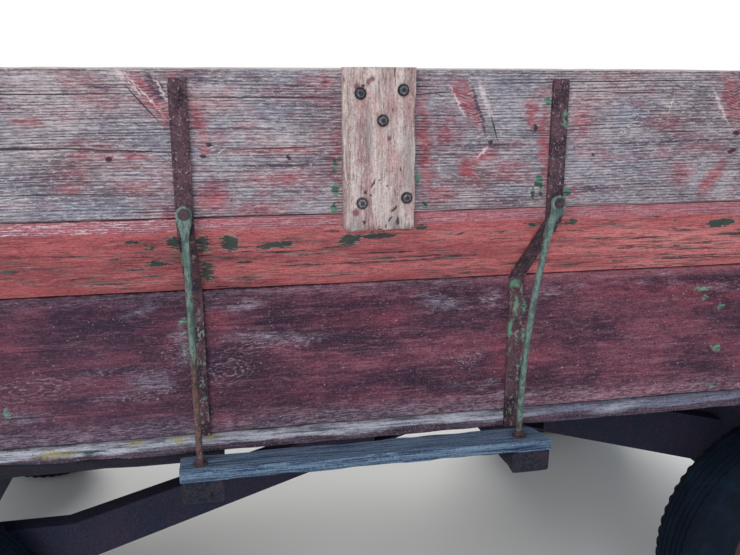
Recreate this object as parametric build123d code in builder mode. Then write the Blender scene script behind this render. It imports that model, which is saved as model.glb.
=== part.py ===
"""Flare-side farm wagon: a wooden box with flared sides on a steel running gear.

Millimetres. +X is forward, towards the tongue, +Y is the wagon's left side and +Z is up.
The origin is on the ground, at the middle of the whole length with the tongue lying down.
"""

from build123d import *
from math import atan2, cos, hypot, radians, sin
import os

os.makedirs("parts", exist_ok=True)

# Wheels and stance
tyre_r = 365.0
tyre_width = 165.0
track = 1500.0
wheelbase = 2182.0
rim_r = 203.0
rim_width = 100.0
flange_r = 218.0

# Wooden box, seen from behind: upright, flared, upright
box_length = 3353.0
box_bottom_z = 841.0
floor_half = 887.0
flare_out = 154.0
strip_h = 35.0
lower_h = 287.0
flare_h = 136.5
flare_edge_h = 20.5
top_h = 232.0
board_t = 22.0
strip_proud = 8.0
floor_t = 25.0
floor_board_count = 10
board_gap = 2.0
end_t = 25.0
end_drop = 18.0
batten_w = 90.0
batten_y = 480.0

# Stakes, cross sills and braces
stake_count = 6
stake_pitch = 622.0
stake_w = 28.0
stake_t = 8.0
stake_top_gap = 17.0
notch_gap = 1.5
sill_w = 75.0
sill_h = 45.0
sill_over = 118.0
long_sill_w = 50.0
long_sill_h = 95.0
long_sill_y = 455.0
runner_w = 50.0
runner_h = 34.0
runner_inset = 2.0
rod_r = 6.3
rod_foot_inset = 21.0
rod_lean = 3.0
bent_rod_lean = 12.0
rod_knee = 8.0
rod_end_up = 6.0
rod_eye_z = 1330.0
rod_eye_r = 13.0
rod_eye_t = 8.0
rod_stand_off = 9.0
nut_r = 11.0
nut_h = 9.0
washer_r = 16.0
washer_t = 3.0

# Step plank and patch board on the right side
plank_t = 23.0
plank_w = 63.0
plank_over = 40.0
plank_proud = 5.0
patch_w = 118.0
patch_t = 20.0
patch_h = 262.0

# Axles, bolsters and reach
axle_h = 100.0
axle_d = 90.0
front_axle_z = 465.0
axle_ahead = 1170.0
kingpin_inset = 140.0
front_riser_in = 200.0
front_riser_inset = 50.0
riser_w = 100.0
riser_d = 90.0
centre_block_w = 120.0
bolster_h = 100.0
bolster_d = 100.0
bolster_inset = 20.0
reach_r = 38.0
hound_h = 102.0
hound_t = 8.0
hound_w = 45.0
hound_bottom_z = 463.0
collar_half = 45.0
collar_back = 105.0
collar_front = 90.0
collar_lap = 15.0
web_end_y = 190.0
rear_bend_ahead = 386.0
hound_tyre_gap = 31.5
rear_apex_ahead = 1511.0
front_apex_behind = 720.0
front_hound_inset = 87.0

# Spindles, knuckles and steering
spindle_r = 18.0
spindle_out = 62.0
shoulder_r = 30.0
fit = 0.05
kingpin_r = 14.0
boss_r = 32.0
yoke_gap = 6.0
yoke_t = 16.0
yoke_r = 34.0
arm_length = 110.0
arm_w = 36.0
eye_r = 26.0
eye_t = 24.0
pin_r = 11.0
seat_gap = 0.3
tie_r = 9.0

# Wheel discs and hubs
disc_t = 7.0
hub_r = 46.0
hub_flange_r = 82.0
hub_flange_t = 12.0
disc_set_in = 2.0
hub_in = 60.0
hub_out = 56.0
bead_gap = 0.4
bead_t = 8.5
widest_r = 282.0
shoulder_in = 8.0
shoulder_drop = 16.0
tread_half = 46.0

# Tongue
tongue_angle = radians(10.5)
lift_ahead = 160.0
lift_z = 345.0
tongue_h = 64.0
tongue_w = 76.0
ear_t = 12.0
ear_gap = 5.0
ear_r = 34.0
lift_pin_r = 12.5
hitch_r = 38.0
hitch_t = 24.0
hitch_hole_r = 14.0
hitch_neck = 150.0

# End gate at the back, hung from a rod
gate_gap = 6.0
gate_rod_r = 8.0
gate_rod_drop = 49.0
gate_strap_y = 600.0
gate_strap_w = 50.0
gate_strap_t = 6.0
gate_eye_gap = 24.0
plate_half = 20.0
plate_t = 6.0

# Heights of the box's seams, from the cross sills up
strip_top_z = box_bottom_z + strip_h
lower_top_z = strip_top_z + lower_h
flare_top_z = lower_top_z + flare_h
seam_z = flare_top_z + flare_edge_h
box_top_z = seam_z + top_h
floor_top_z = box_bottom_z + floor_t
sill_bottom_z = box_bottom_z - sill_h
long_sill_bottom_z = sill_bottom_z - long_sill_h
bolster_bottom_z = long_sill_bottom_z - bolster_h
front_top_z = front_axle_z + axle_h / 2
front_bottom_z = front_axle_z - axle_h / 2
front_hound_h = bolster_bottom_z - hound_bottom_z
top_half = floor_half + flare_out
floor_inner = floor_half - board_t
sill_half = floor_half + sill_over
rod_foot_y = sill_half - rod_foot_inset
kingpin_y = track / 2 - kingpin_inset
bolster_half = kingpin_y - bolster_inset
front_riser_out = kingpin_y - front_riser_inset
front_hound_y = kingpin_y - front_hound_inset
rear_bend_y = track / 2 - tyre_width / 2 - hound_tyre_gap
spindle_end_y = track / 2 + spindle_out
hub_inner_y = track / 2 - hub_in
top_inner = top_half - board_t

# Length: the hitch eye lies on the ground in front, the box ends behind
hitch_z = hitch_r * sin(tongue_angle) + hitch_t / 2 * cos(tongue_angle)
tongue_length = (lift_z - hitch_z) / sin(tongue_angle)
tip_ahead = axle_ahead + lift_ahead + (tongue_length + hitch_r) * cos(tongue_angle)
tip_ahead = tip_ahead + hitch_t / 2 * sin(tongue_angle)
box_mid = (box_length / 2 - tip_ahead) / 2
box_rear = box_mid - box_length / 2
box_front = box_mid + box_length / 2
axle_front = box_mid + axle_ahead
axle_rear = axle_front - wheelbase
stake_x = [box_mid + (i - (stake_count - 1) / 2) * stake_pitch for i in range(stake_count)]
plank_first = stake_count // 2 - 1
bent_stake = plank_first + 1

SIDES = (("right", -1), ("left", 1))


def keep(piece, label):
    """Label a finished piece and write it as one STEP file."""
    piece.part.label = label
    export_step(piece.part, "parts/" + label + ".step")


def slab(x0, x1, y0, y1, z0, z1, mode=Mode.ADD):
    """A square-edged block between two corners, in the part that is being built."""
    with BuildSketch(Plane.XY.offset(z0)) as face:
        with Locations(((x0 + x1) / 2, (y0 + y1) / 2)):
            Rectangle(x1 - x0, y1 - y0)
    extrude(face.sketch, amount=z1 - z0, mode=mode)


def section(points, x0, x1):
    """A profile of (y, z) points, drawn across the wagon and run from x0 to x1."""
    with BuildSketch(Plane.YZ.offset(x0)) as face:
        Polygon(*points, align=None)
    extrude(face.sketch, amount=x1 - x0)


def outline(points, z0, z1, mode=Mode.ADD):
    """A flat shape of (x, y) points, from z0 up to z1."""
    with BuildSketch(Plane.XY.offset(z0)) as face:
        Polygon(*points, align=None)
    extrude(face.sketch, amount=z1 - z0, mode=mode)


def upright(x, y, z0, z1, r, mode=Mode.ADD):
    """A round upright piece or hole."""
    with BuildSketch(Plane.XY.offset(z0)) as face:
        with Locations((x, y)):
            Circle(r)
    extrude(face.sketch, amount=z1 - z0, mode=mode)


def crosswise(x, z, y0, y1, r, mode=Mode.ADD):
    """A round piece or hole that runs across the wagon, from y0 to y1."""
    with BuildSketch(Plane((x, y0, z), x_dir=(1, 0, 0), z_dir=(0, 1, 0))) as face:
        Circle(r)
    extrude(face.sketch, amount=y1 - y0, mode=mode)


def wall_profile(side, z0, z1, inset):
    """The inside of the box between two heights, for one end board, as (y, z) points."""
    half = []
    corners = ((floor_inner, floor_top_z), (floor_inner, lower_top_z + flare_edge_h),
               (top_inner, seam_z), (top_inner, box_top_z))
    for z in (z0, z1):
        half.append((inside_half(z, corners) - inset, z))
    for y, z in corners[1:3]:
        if z0 < z < z1:
            half.insert(-1, (y - inset, z))
    return [(side * y, z) for y, z in half]


def inside_half(z, corners):
    """Half the box's inside width at a height."""
    for (ya, za), (yb, zb) in zip(corners, corners[1:]):
        if z <= zb:
            share = max(z - za, 0) / (zb - za)
            return ya + (yb - ya) * share
    return corners[-1][0]


def foot_x(i, hand):
    """Where a brace rod's foot stands along the wagon. One rod on the right is bent out of line."""
    bent = hand == "right" and i == bent_stake
    return stake_x[i] - (bent_rod_lean if bent else rod_lean)


# The four boards of each side
for hand, side in SIDES:
    with BuildPart() as top_board:
        section([(side * top_inner, seam_z), (side * top_half, seam_z),
                 (side * top_half, box_top_z), (side * top_inner, box_top_z)], box_rear, box_front)
    keep(top_board, "top_board_" + hand)

    with BuildPart() as flare_board:
        section([(side * top_half, flare_top_z), (side * top_half, seam_z), (side * top_inner, seam_z),
                 (side * floor_inner, lower_top_z + flare_edge_h), (side * floor_inner, lower_top_z),
                 (side * floor_half, lower_top_z)], box_rear, box_front)
    keep(flare_board, "flare_board_" + hand)

    with BuildPart() as lower_board:
        slab(box_rear, box_front, *sorted((side * floor_inner, side * floor_half)), strip_top_z, lower_top_z)
    keep(lower_board, "lower_board_" + hand)

    with BuildPart() as bottom_strip:
        outer = side * (floor_half + strip_proud)
        slab(box_rear, box_front, *sorted((side * floor_inner, outer)), box_bottom_z, strip_top_z)
        if hand == "right":
            notch = stake_w / 2 + notch_gap
            slab(stake_x[bent_stake] - notch, stake_x[bent_stake] + notch, outer, side * floor_half,
                 box_bottom_z, strip_top_z, Mode.SUBTRACT)
    keep(bottom_strip, "bottom_strip_" + hand)

# Bent strap stakes outside the boards
bend = atan2(flare_out, flare_h)
mitre = sin(bend) / (1 + cos(bend))
for hand, side in SIDES:
    with BuildPart() as stakes:
        for i, x in enumerate(stake_x):
            foot_z = box_bottom_z if hand == "right" and i == bent_stake else strip_top_z
            inner = [(top_half, box_top_z - stake_top_gap), (top_half, flare_top_z),
                     (floor_half, lower_top_z), (floor_half, foot_z)]
            drops = (0, mitre * stake_t, mitre * stake_t, 0)
            outer = [(y + stake_t, z - drop) for (y, z), drop in zip(inner, drops)]
            ring = [(side * y, z) for y, z in inner + outer[::-1]]
            section(ring, x - stake_w / 2, x + stake_w / 2)
    keep(stakes, "stakes_" + hand)

# Rod braces from each stake to the end of its cross sill
for hand, side in SIDES:
    with BuildPart() as brace_rods:
        for i, x in enumerate(stake_x):
            on_plank = hand == "right" and i in (plank_first, bent_stake)
            seat_z = box_bottom_z + (plank_t if on_plank else 0)
            eye_y = top_half + stake_t + rod_stand_off + rod_eye_t / 2
            foot = foot_x(i, hand)
            bend_z = seat_z + washer_t + nut_h + rod_knee
            with BuildLine() as path:
                Polyline((x, side * eye_y, rod_eye_z), (foot, side * rod_foot_y, bend_z),
                         (foot, side * rod_foot_y, sill_bottom_z + rod_end_up))
            with BuildSketch(Plane(path.wire() @ 0, z_dir=path.wire() % 0)) as round_bar:
                Circle(rod_r)
            sweep(round_bar.sketch, path=path.wire(), transition=Transition.RIGHT)
            crosswise(x, rod_eye_z, *sorted((side * (top_half + stake_t), side * (eye_y + rod_eye_t / 2))),
                      rod_eye_r)
            upright(foot, side * rod_foot_y, seat_z, seat_z + washer_t, washer_r)
            with BuildSketch(Plane.XY.offset(seat_z + washer_t)) as hexagon:
                with Locations((foot, side * rod_foot_y)):
                    RegularPolygon(nut_r, 6)
            extrude(hexagon.sketch, amount=nut_h)
    keep(brace_rods, "brace_rods_" + hand)

# Cross sills, with the holes for the brace rods in their ends
with BuildPart() as cross_sills:
    for i, x in enumerate(stake_x):
        slab(x - sill_w / 2, x + sill_w / 2, -sill_half, sill_half, sill_bottom_z, box_bottom_z)
        for hand, side in SIDES:
            upright(foot_x(i, hand), side * rod_foot_y, sill_bottom_z, box_bottom_z, rod_r + seat_gap,
                    Mode.SUBTRACT)
keep(cross_sills, "cross_sills")

# Long sills under the cross sills, and runners under the floor's edges in the bays behind the plank
with BuildPart() as long_sills:
    for hand, side in SIDES:
        y = side * long_sill_y
        slab(stake_x[0] - sill_w / 2, stake_x[-1] + sill_w / 2, y - long_sill_w / 2,
             y + long_sill_w / 2, long_sill_bottom_z, sill_bottom_z)
        outer = side * (floor_inner - runner_inset)
        y0, y1 = sorted((outer, outer - side * runner_w))
        for i in range(plank_first + 1):
            x0 = stake_x[i - 1] + sill_w / 2 if i > 0 else box_rear
            slab(x0, stake_x[i] - sill_w / 2, y0, y1, box_bottom_z - runner_h, box_bottom_z)
keep(long_sills, "long_sills")

# Floor boards, run lengthwise
with BuildPart() as floor_boards:
    floor_pitch = (2 * floor_inner + board_gap) / floor_board_count
    for i in range(floor_board_count):
        y = -floor_inner + i * floor_pitch
        slab(box_rear, box_front, y, y + floor_pitch - board_gap, box_bottom_z, floor_top_z)
keep(floor_boards, "floor_boards")

# Step plank on two sill ends
with BuildPart() as step_plank:
    plank_y = sill_half + plank_proud
    x0 = stake_x[plank_first] - plank_over
    x1 = stake_x[plank_first + 1] + plank_over
    slab(x0, x1, -plank_y, -plank_y + plank_w, box_bottom_z, box_bottom_z + plank_t)
    for i in (plank_first, bent_stake):
        upright(foot_x(i, "right"), -rod_foot_y, box_bottom_z, box_bottom_z + plank_t, rod_r + seat_gap,
                Mode.SUBTRACT)
keep(step_plank, "step_plank")

# Patch board nailed over the top board
with BuildPart() as patch_board:
    slab(box_mid - patch_w / 2, box_mid + patch_w / 2, -top_half - patch_t, -top_half, box_top_z - patch_h,
         box_top_z)
keep(patch_board, "patch_board")

# Front end: three boards between the sides, and two battens outside them
end_top_z = box_top_z - end_drop
end_rows = ((floor_top_z, lower_top_z), (lower_top_z + board_gap, seam_z), (seam_z + board_gap, end_top_z))
with BuildPart() as front_end_boards:
    x1 = box_front - end_t
    for z0, z1 in end_rows:
        left_edge = wall_profile(1, z0, z1, 0)
        right_edge = wall_profile(-1, z0, z1, 0)
        section(left_edge + right_edge[::-1], x1 - end_t, x1)
keep(front_end_boards, "front_end_boards")

with BuildPart() as front_battens:
    for y in (-batten_y, 0, batten_y):
        slab(x1, box_front, y - batten_w / 2, y + batten_w / 2, floor_top_z, end_top_z)
keep(front_battens, "front_battens")

# End gate at the back: three boards on two strap hinges
gate_x0 = box_rear + gate_strap_t + board_gap
gate_x1 = gate_x0 + end_t
hinge_x = (gate_x0 + gate_x1) / 2
hinge_z = box_top_z - gate_rod_drop
gate_top_z = hinge_z - gate_eye_gap
gate_rows = ((floor_top_z + gate_gap, lower_top_z), (lower_top_z + board_gap, seam_z),
             (seam_z + board_gap, gate_top_z))
with BuildPart() as gate_boards:
    for z0, z1 in gate_rows:
        left_edge = wall_profile(1, z0, z1, gate_gap)
        right_edge = wall_profile(-1, z0, z1, gate_gap)
        section(left_edge + right_edge[::-1], gate_x0, gate_x1)
keep(gate_boards, "gate_boards")

with BuildPart() as gate_straps:
    eye_outer_r = hinge_x - gate_x0 + gate_strap_t
    for side in (-1, 1):
        y0 = side * gate_strap_y - gate_strap_w / 2
        y1 = side * gate_strap_y + gate_strap_w / 2
        slab(gate_x0 - gate_strap_t, gate_x0, y0, y1, gate_rows[0][0], hinge_z)
        crosswise(hinge_x, hinge_z, y0, y1, eye_outer_r)
        crosswise(hinge_x, hinge_z, y0, y1, gate_rod_r + fit, Mode.SUBTRACT)
keep(gate_straps, "gate_straps")

with BuildPart() as gate_rod:
    crosswise(hinge_x, hinge_z, -top_inner, top_inner, gate_rod_r)
    for side in (-1, 1):
        y0, y1 = sorted((side * (top_inner - plate_t), side * top_inner))
        slab(hinge_x - plate_half, hinge_x + plate_half, y0, y1, hinge_z - plate_half, hinge_z + plate_half)
keep(gate_rod, "gate_rod")

# Axle beams with risers and bolsters
rear_riser_out = rear_bend_y - hound_w
ends = (("front", axle_front, front_axle_z, front_riser_in, front_riser_out),
        ("rear", axle_rear, tyre_r, rear_riser_out - riser_w, rear_riser_out))
for end, x, mid_z, riser_in, riser_out in ends:
    low_z, high_z = mid_z - axle_h / 2, mid_z + axle_h / 2
    with BuildPart() as axle:
        slab(x - axle_d / 2, x + axle_d / 2, -kingpin_y, kingpin_y, low_z, high_z)
        if end == "front":
            for side in (-1, 1):
                upright(x, side * kingpin_y, low_z, high_z, boss_r)
                upright(x, side * kingpin_y, low_z, high_z, kingpin_r + fit, Mode.SUBTRACT)
            upright(x, 0, low_z - yoke_gap - yoke_t - nut_h, low_z, kingpin_r)
        else:
            shoulder_y = hub_inner_y - ear_gap
            crosswise(x, tyre_r, -shoulder_y, shoulder_y, shoulder_r)
            crosswise(x, tyre_r, -spindle_end_y, spindle_end_y, spindle_r)
    keep(axle, "axle_" + end)

    with BuildPart() as risers:
        half_block = centre_block_w / 2
        for y0, y1 in ((-riser_out, -riser_in), (-half_block, half_block), (riser_in, riser_out)):
            slab(x - riser_d / 2, x + riser_d / 2, y0, y1, high_z, bolster_bottom_z)
    keep(risers, "risers_" + end)

    with BuildPart() as bolster:
        slab(x - bolster_d / 2, x + bolster_d / 2, -bolster_half, bolster_half, bolster_bottom_z,
             long_sill_bottom_z)
    keep(bolster, "bolster_" + end)

# Reach pipe between the axles
hound_mid_z = hound_bottom_z + hound_h / 2
with BuildPart() as reach:
    with BuildSketch(Plane.YZ.offset(axle_rear + riser_d / 2)):
        with Locations((0, hound_mid_z)):
            Circle(reach_r)
    extrude(amount=axle_front - axle_rear - riser_d)
keep(reach, "reach")


def band(points, width):
    """A strip of one width along a bent line of (x, y) points, on its right-hand side."""
    shifted = []
    for i, (x, y) in enumerate(points):
        turns = []
        for a, b in ((i - 1, i), (i, i + 1)):
            if a >= 0 and b < len(points):
                dx = points[b][0] - points[a][0]
                dy = points[b][1] - points[a][1]
                turns.append((dy / hypot(dx, dy), -dx / hypot(dx, dy)))
        nx = sum(n[0] for n in turns)
        ny = sum(n[1] for n in turns)
        scale = width * len(turns) / (nx * nx + ny * ny)
        shifted.append((x + nx * scale, y + ny * scale))
    return list(points) + shifted[::-1]


# Hounds: channel beams that run in from the axle ends to the reach
rear_apex = axle_rear + rear_apex_ahead
front_apex = axle_front - front_apex_behind
hound_lines = (
    ("rear", [(axle_rear, rear_bend_y), (axle_rear + rear_bend_ahead, rear_bend_y), (rear_apex, 0)], hound_h),
    ("front", [(front_apex, 0), (axle_front, front_hound_y)], front_hound_h),
)
for end, line, height in hound_lines:
    hound_top_z = hound_bottom_z + height
    with BuildPart() as hounds:
        outer = band(line, hound_w)
        pocket = band(band(line, hound_t)[:len(line) - 1:-1], hound_w)
        for side in (1, -1):
            outline([(x, side * y) for x, y in outer], hound_bottom_z, hound_top_z)
        web_z0 = hound_bottom_z + hound_t
        web_z1 = hound_top_z - hound_t
        for side in (1, -1):
            outline([(x, side * y) for x, y in pocket], web_z0, web_z1, Mode.SUBTRACT)
        slab(axle_rear, axle_front, -web_end_y, web_end_y, web_z0, web_z1, Mode.SUBTRACT)
        slab(axle_rear, axle_front, -collar_half, collar_half, hound_bottom_z, hound_top_z, Mode.SUBTRACT)
        slab(axle_front - riser_d / 2, axle_front + riser_d, -track / 2, track / 2, hound_bottom_z,
             hound_top_z, Mode.SUBTRACT)
    keep(hounds, "hounds_" + end)

# Collars that clamp the hounds to the reach
with BuildPart() as reach_collars:
    rear_slope = rear_bend_y / (rear_apex - axle_rear - rear_bend_ahead)
    front_slope = front_hound_y / front_apex_behind
    rear_in = rear_apex - collar_half / rear_slope
    front_in = front_apex + collar_half / front_slope
    for x0, x1 in ((rear_in - collar_back, rear_in + collar_lap),
                   (front_in - collar_lap, front_in + collar_front)):
        slab(x0, x1, -collar_half, collar_half, hound_bottom_z, hound_bottom_z + hound_h)
    with BuildSketch(Plane.YZ.offset(axle_rear)):
        with Locations((0, hound_mid_z)):
            Circle(reach_r + seat_gap)
    extrude(amount=wheelbase, mode=Mode.SUBTRACT)
keep(reach_collars, "reach_collars")

# Front knuckles: a yoke on the kingpin, the spindle and the steering arm
arm_top_z = front_bottom_z - yoke_gap
arm_bottom_z = arm_top_z - yoke_t
yoke_top_z = front_top_z + yoke_gap
arm_end_x = axle_front + arm_length
for hand, side in SIDES:
    with BuildPart() as knuckle:
        y = side * kingpin_y
        web_y0 = side * (kingpin_y + boss_r + yoke_gap)
        web_y1 = side * (kingpin_y + boss_r + yoke_gap + yoke_t)
        low_y, high_y = sorted((web_y0, web_y1))
        slab(axle_front - yoke_r, axle_front + yoke_r, low_y, high_y, tyre_r - yoke_r, yoke_top_z + yoke_t)
        for z in (arm_bottom_z, yoke_top_z):
            upright(axle_front, y, z, z + yoke_t, yoke_r)
            slab(axle_front - yoke_r, axle_front + yoke_r, *sorted((y, web_y1)), z, z + yoke_t)
        upright(axle_front, y, arm_bottom_z, yoke_top_z + yoke_t, kingpin_r)
        crosswise(axle_front, tyre_r, *sorted((web_y0, side * (hub_inner_y - ear_gap))), shoulder_r)
        crosswise(axle_front, tyre_r, *sorted((web_y0, side * spindle_end_y)), spindle_r)
        slab(axle_front, arm_end_x, y - arm_w / 2, y + arm_w / 2, arm_bottom_z, arm_top_z)
        upright(arm_end_x, y, arm_bottom_z, arm_top_z, eye_r)
        upright(arm_end_x, y, arm_top_z, arm_top_z + seat_gap + eye_t, pin_r)
    keep(knuckle, "knuckle_" + hand)

# Tie rod: one bar with three eyes, in front of the axle
tie_z = arm_top_z + seat_gap
with BuildPart() as tie_rod:
    crosswise(arm_end_x, tie_z + eye_t / 2, -kingpin_y, kingpin_y, tie_r)
    for y in (-kingpin_y, 0, kingpin_y):
        upright(arm_end_x, y, tie_z, tie_z + eye_t, eye_r)
        upright(arm_end_x, y, tie_z, tie_z + eye_t, pin_r + fit, Mode.SUBTRACT)
keep(tie_rod, "tie_rod")

# Steering head under the front axle, which carries the tongue
with BuildPart() as steering_head:
    half = tongue_w / 2 + ear_gap
    head_end_x = max(arm_end_x + eye_r, axle_front + lift_ahead - lift_pin_r)
    slab(axle_front - yoke_r, head_end_x, -half - ear_t, half + ear_t, arm_bottom_z, arm_top_z)
    upright(arm_end_x, 0, arm_top_z, arm_top_z + seat_gap + eye_t, pin_r)
    upright(axle_front, 0, arm_bottom_z, arm_top_z, kingpin_r + fit, Mode.SUBTRACT)
    for side in (-1, 1):
        y0, y1 = sorted((side * half, side * (half + ear_t)))
        slab(axle_front + lift_ahead - ear_r, axle_front + lift_ahead + ear_r, y0, y1, lift_z, arm_top_z)
        crosswise(axle_front + lift_ahead, lift_z, y0, y1, ear_r)
    crosswise(axle_front + lift_ahead, lift_z, -half - ear_t, half + ear_t, lift_pin_r)
keep(steering_head, "steering_head")

# Tongue, lying down to the ground, and its hitch
tongue_plane = Plane((axle_front + lift_ahead, 0, lift_z), x_dir=(cos(tongue_angle), 0, -sin(tongue_angle)),
                     z_dir=(sin(tongue_angle), 0, cos(tongue_angle)))
with BuildPart() as tongue:
    with BuildSketch(tongue_plane.offset(-tongue_h / 2)):
        with Locations(((tongue_length - hitch_neck) / 2, 0)):
            Rectangle(tongue_length - hitch_neck, tongue_w)
    extrude(amount=tongue_h)
    crosswise(axle_front + lift_ahead, lift_z, -tongue_w / 2, tongue_w / 2, tongue_h / 2)
    crosswise(axle_front + lift_ahead, lift_z, -tongue_w / 2, tongue_w / 2, lift_pin_r + fit, Mode.SUBTRACT)
keep(tongue, "tongue")

with BuildPart() as hitch:
    with BuildSketch(tongue_plane.offset(-hitch_t / 2)):
        with Locations((tongue_length, 0)):
            Circle(hitch_r)
        with Locations((tongue_length - hitch_neck / 2, 0)):
            Rectangle(hitch_neck, hitch_r)
        with Locations((tongue_length, 0)):
            Circle(hitch_hole_r, mode=Mode.SUBTRACT)
    extrude(amount=hitch_t)
keep(hitch, "hitch")

# Wheels and tyres
for end, x in (("front", axle_front), ("rear", axle_rear)):
    for hand, side in SIDES:
        mid_y = side * track / 2
        spin = Axis((x, 0, tyre_r), (0, 1, 0))
        section_plane = Plane((x, mid_y, tyre_r), x_dir=(0, side, 0), z_dir=(side, 0, 0))
        half_rim = rim_width / 2
        with BuildPart() as wheel:
            with BuildSketch(section_plane):
                with Locations(((hub_out - hub_in) / 2, (hub_r + spindle_r + fit) / 2)):
                    Rectangle(hub_out + hub_in, hub_r - spindle_r - fit)
                with Locations((hub_flange_t / 2, (hub_flange_r + hub_r) / 2)):
                    Rectangle(hub_flange_t, hub_flange_r - hub_r)
                with Locations((hub_flange_t - disc_set_in - disc_t / 2, rim_r / 2 + hub_r / 2)):
                    Rectangle(disc_t, rim_r - hub_r)
                Polygon((-half_rim - disc_t, flange_r), (-half_rim, flange_r), (-half_rim, rim_r),
                        (half_rim, rim_r), (half_rim, flange_r), (half_rim + disc_t, flange_r),
                        (half_rim + disc_t, rim_r - disc_t), (-half_rim - disc_t, rim_r - disc_t), align=None)
            revolve(axis=spin)
        keep(wheel, "wheel_" + end + "_" + hand)

        with BuildPart() as tyre:
            with BuildSketch(section_plane):
                half = ((half_rim - bead_t, rim_r + bead_gap), (tyre_width / 2, widest_r),
                        (tyre_width / 2 - shoulder_in, tyre_r - shoulder_drop), (tread_half, tyre_r))
                Polygon(*half, *[(-y, r) for y, r in half[::-1]], align=None)
            revolve(axis=spin)
        keep(tyre, "tyre_" + end + "_" + hand)
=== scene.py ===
"""A weathered flare-side farm wagon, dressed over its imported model.

Metres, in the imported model's frame: +X is forward, -Y is the wagon's right side, +Z is up.
"""

import bmesh
import bpy
from functools import reduce
from math import atan2, cos, pi, radians, sin
from mathutils import Matrix, Vector, noise


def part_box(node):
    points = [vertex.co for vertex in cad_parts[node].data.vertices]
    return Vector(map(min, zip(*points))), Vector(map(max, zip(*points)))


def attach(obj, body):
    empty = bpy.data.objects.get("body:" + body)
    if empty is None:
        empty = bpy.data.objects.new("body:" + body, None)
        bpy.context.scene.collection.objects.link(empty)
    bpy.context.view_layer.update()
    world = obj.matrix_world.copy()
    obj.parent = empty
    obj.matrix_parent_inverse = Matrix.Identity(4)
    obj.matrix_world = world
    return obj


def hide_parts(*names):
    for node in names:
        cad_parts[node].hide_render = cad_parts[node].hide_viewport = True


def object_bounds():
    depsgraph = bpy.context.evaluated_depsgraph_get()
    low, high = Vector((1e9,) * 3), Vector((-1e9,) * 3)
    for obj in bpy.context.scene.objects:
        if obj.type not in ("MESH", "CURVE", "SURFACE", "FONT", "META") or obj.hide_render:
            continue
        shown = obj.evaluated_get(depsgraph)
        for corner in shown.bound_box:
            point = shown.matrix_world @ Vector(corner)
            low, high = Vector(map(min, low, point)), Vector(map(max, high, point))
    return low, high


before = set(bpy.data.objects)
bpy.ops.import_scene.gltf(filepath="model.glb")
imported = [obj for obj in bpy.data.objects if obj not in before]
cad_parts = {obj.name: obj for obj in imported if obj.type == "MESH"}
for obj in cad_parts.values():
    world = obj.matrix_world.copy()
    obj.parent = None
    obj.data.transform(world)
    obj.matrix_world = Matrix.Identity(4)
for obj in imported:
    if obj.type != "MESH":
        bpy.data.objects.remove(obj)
LOW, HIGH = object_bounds()

# Main places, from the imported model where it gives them. OUT and IN are a board's outer and inner face.
top_low, top_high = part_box("top_board_right")
lower_low, lower_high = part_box("lower_board_right")
BOX_REAR, BOX_FRONT = top_low.x, top_high.x
TOP_OUT, TOP_IN = -top_low.y, -top_high.y
SEAM_Z, TOP_Z = top_low.z, top_high.z
FLOOR_OUT, FLOOR_IN = -lower_low.y, -lower_high.y
STRIP_Z, LOWER_Z = lower_low.z, lower_high.z
BOTTOM_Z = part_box("bottom_strip_right")[0].z
STRIP_OUT = -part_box("bottom_strip_right")[0].y
# Over this height the flare board stands upright, outside at its top and inside at its foot
EDGE_H = 0.0205
FLARE_Z = SEAM_Z - EDGE_H
STAKE_X = [-2.2817391 + 0.622 * i for i in range(6)]
STAKE_W, STAKE_T = 0.028, 0.008
# On the right side the strip is notched for one stake, whose rod is bent, and two rods stand on the plank.
NOTCHED, ON_PLANK = 3, (2, 3)
NOTCH_X, NOTCH_HALF = STAKE_X[NOTCHED], STAKE_W / 2 + 0.0015
# The top board's own marks lie between these places, behind and in front of the patch board
PATCH_X = (BOX_REAR + BOX_FRONT) / 2
MARKS_REAR, MARKS_FRONT = PATCH_X - 0.7, PATCH_X + 0.86
SILL_W, SILL_H, SILL_HALF = 0.075, 0.045, 1.005
LONG_SILL_Y, RUNNER_Y, RUNNER_H = (0.43, 0.48), (0.813, 0.863), 0.034
FLOOR_H, FLOOR_GAP, FLOOR_COUNT = 0.025, 0.002, 10
PLANK_H = 0.023
ROD_R, ROD_FOOT_Y, ROD_EYE_Z, ROD_EYE_Y, EYE_R = 0.006, 0.984, 1.33, 1.062, 0.013
SIDES = (("right", -1), ("left", 1))
SEAM_GAP = 0.0007
MM = 0.001


# Colour and finish


def tint(red, green, blue):
    """A display colour of 0 to 255, in linear light."""
    out = []
    for c in (red / 255, green / 255, blue / 255):
        out.append(c / 12.92 if c <= 0.04045 else ((c + 0.055) / 1.055) ** 2.4)
    return (*out, 1)


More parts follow.
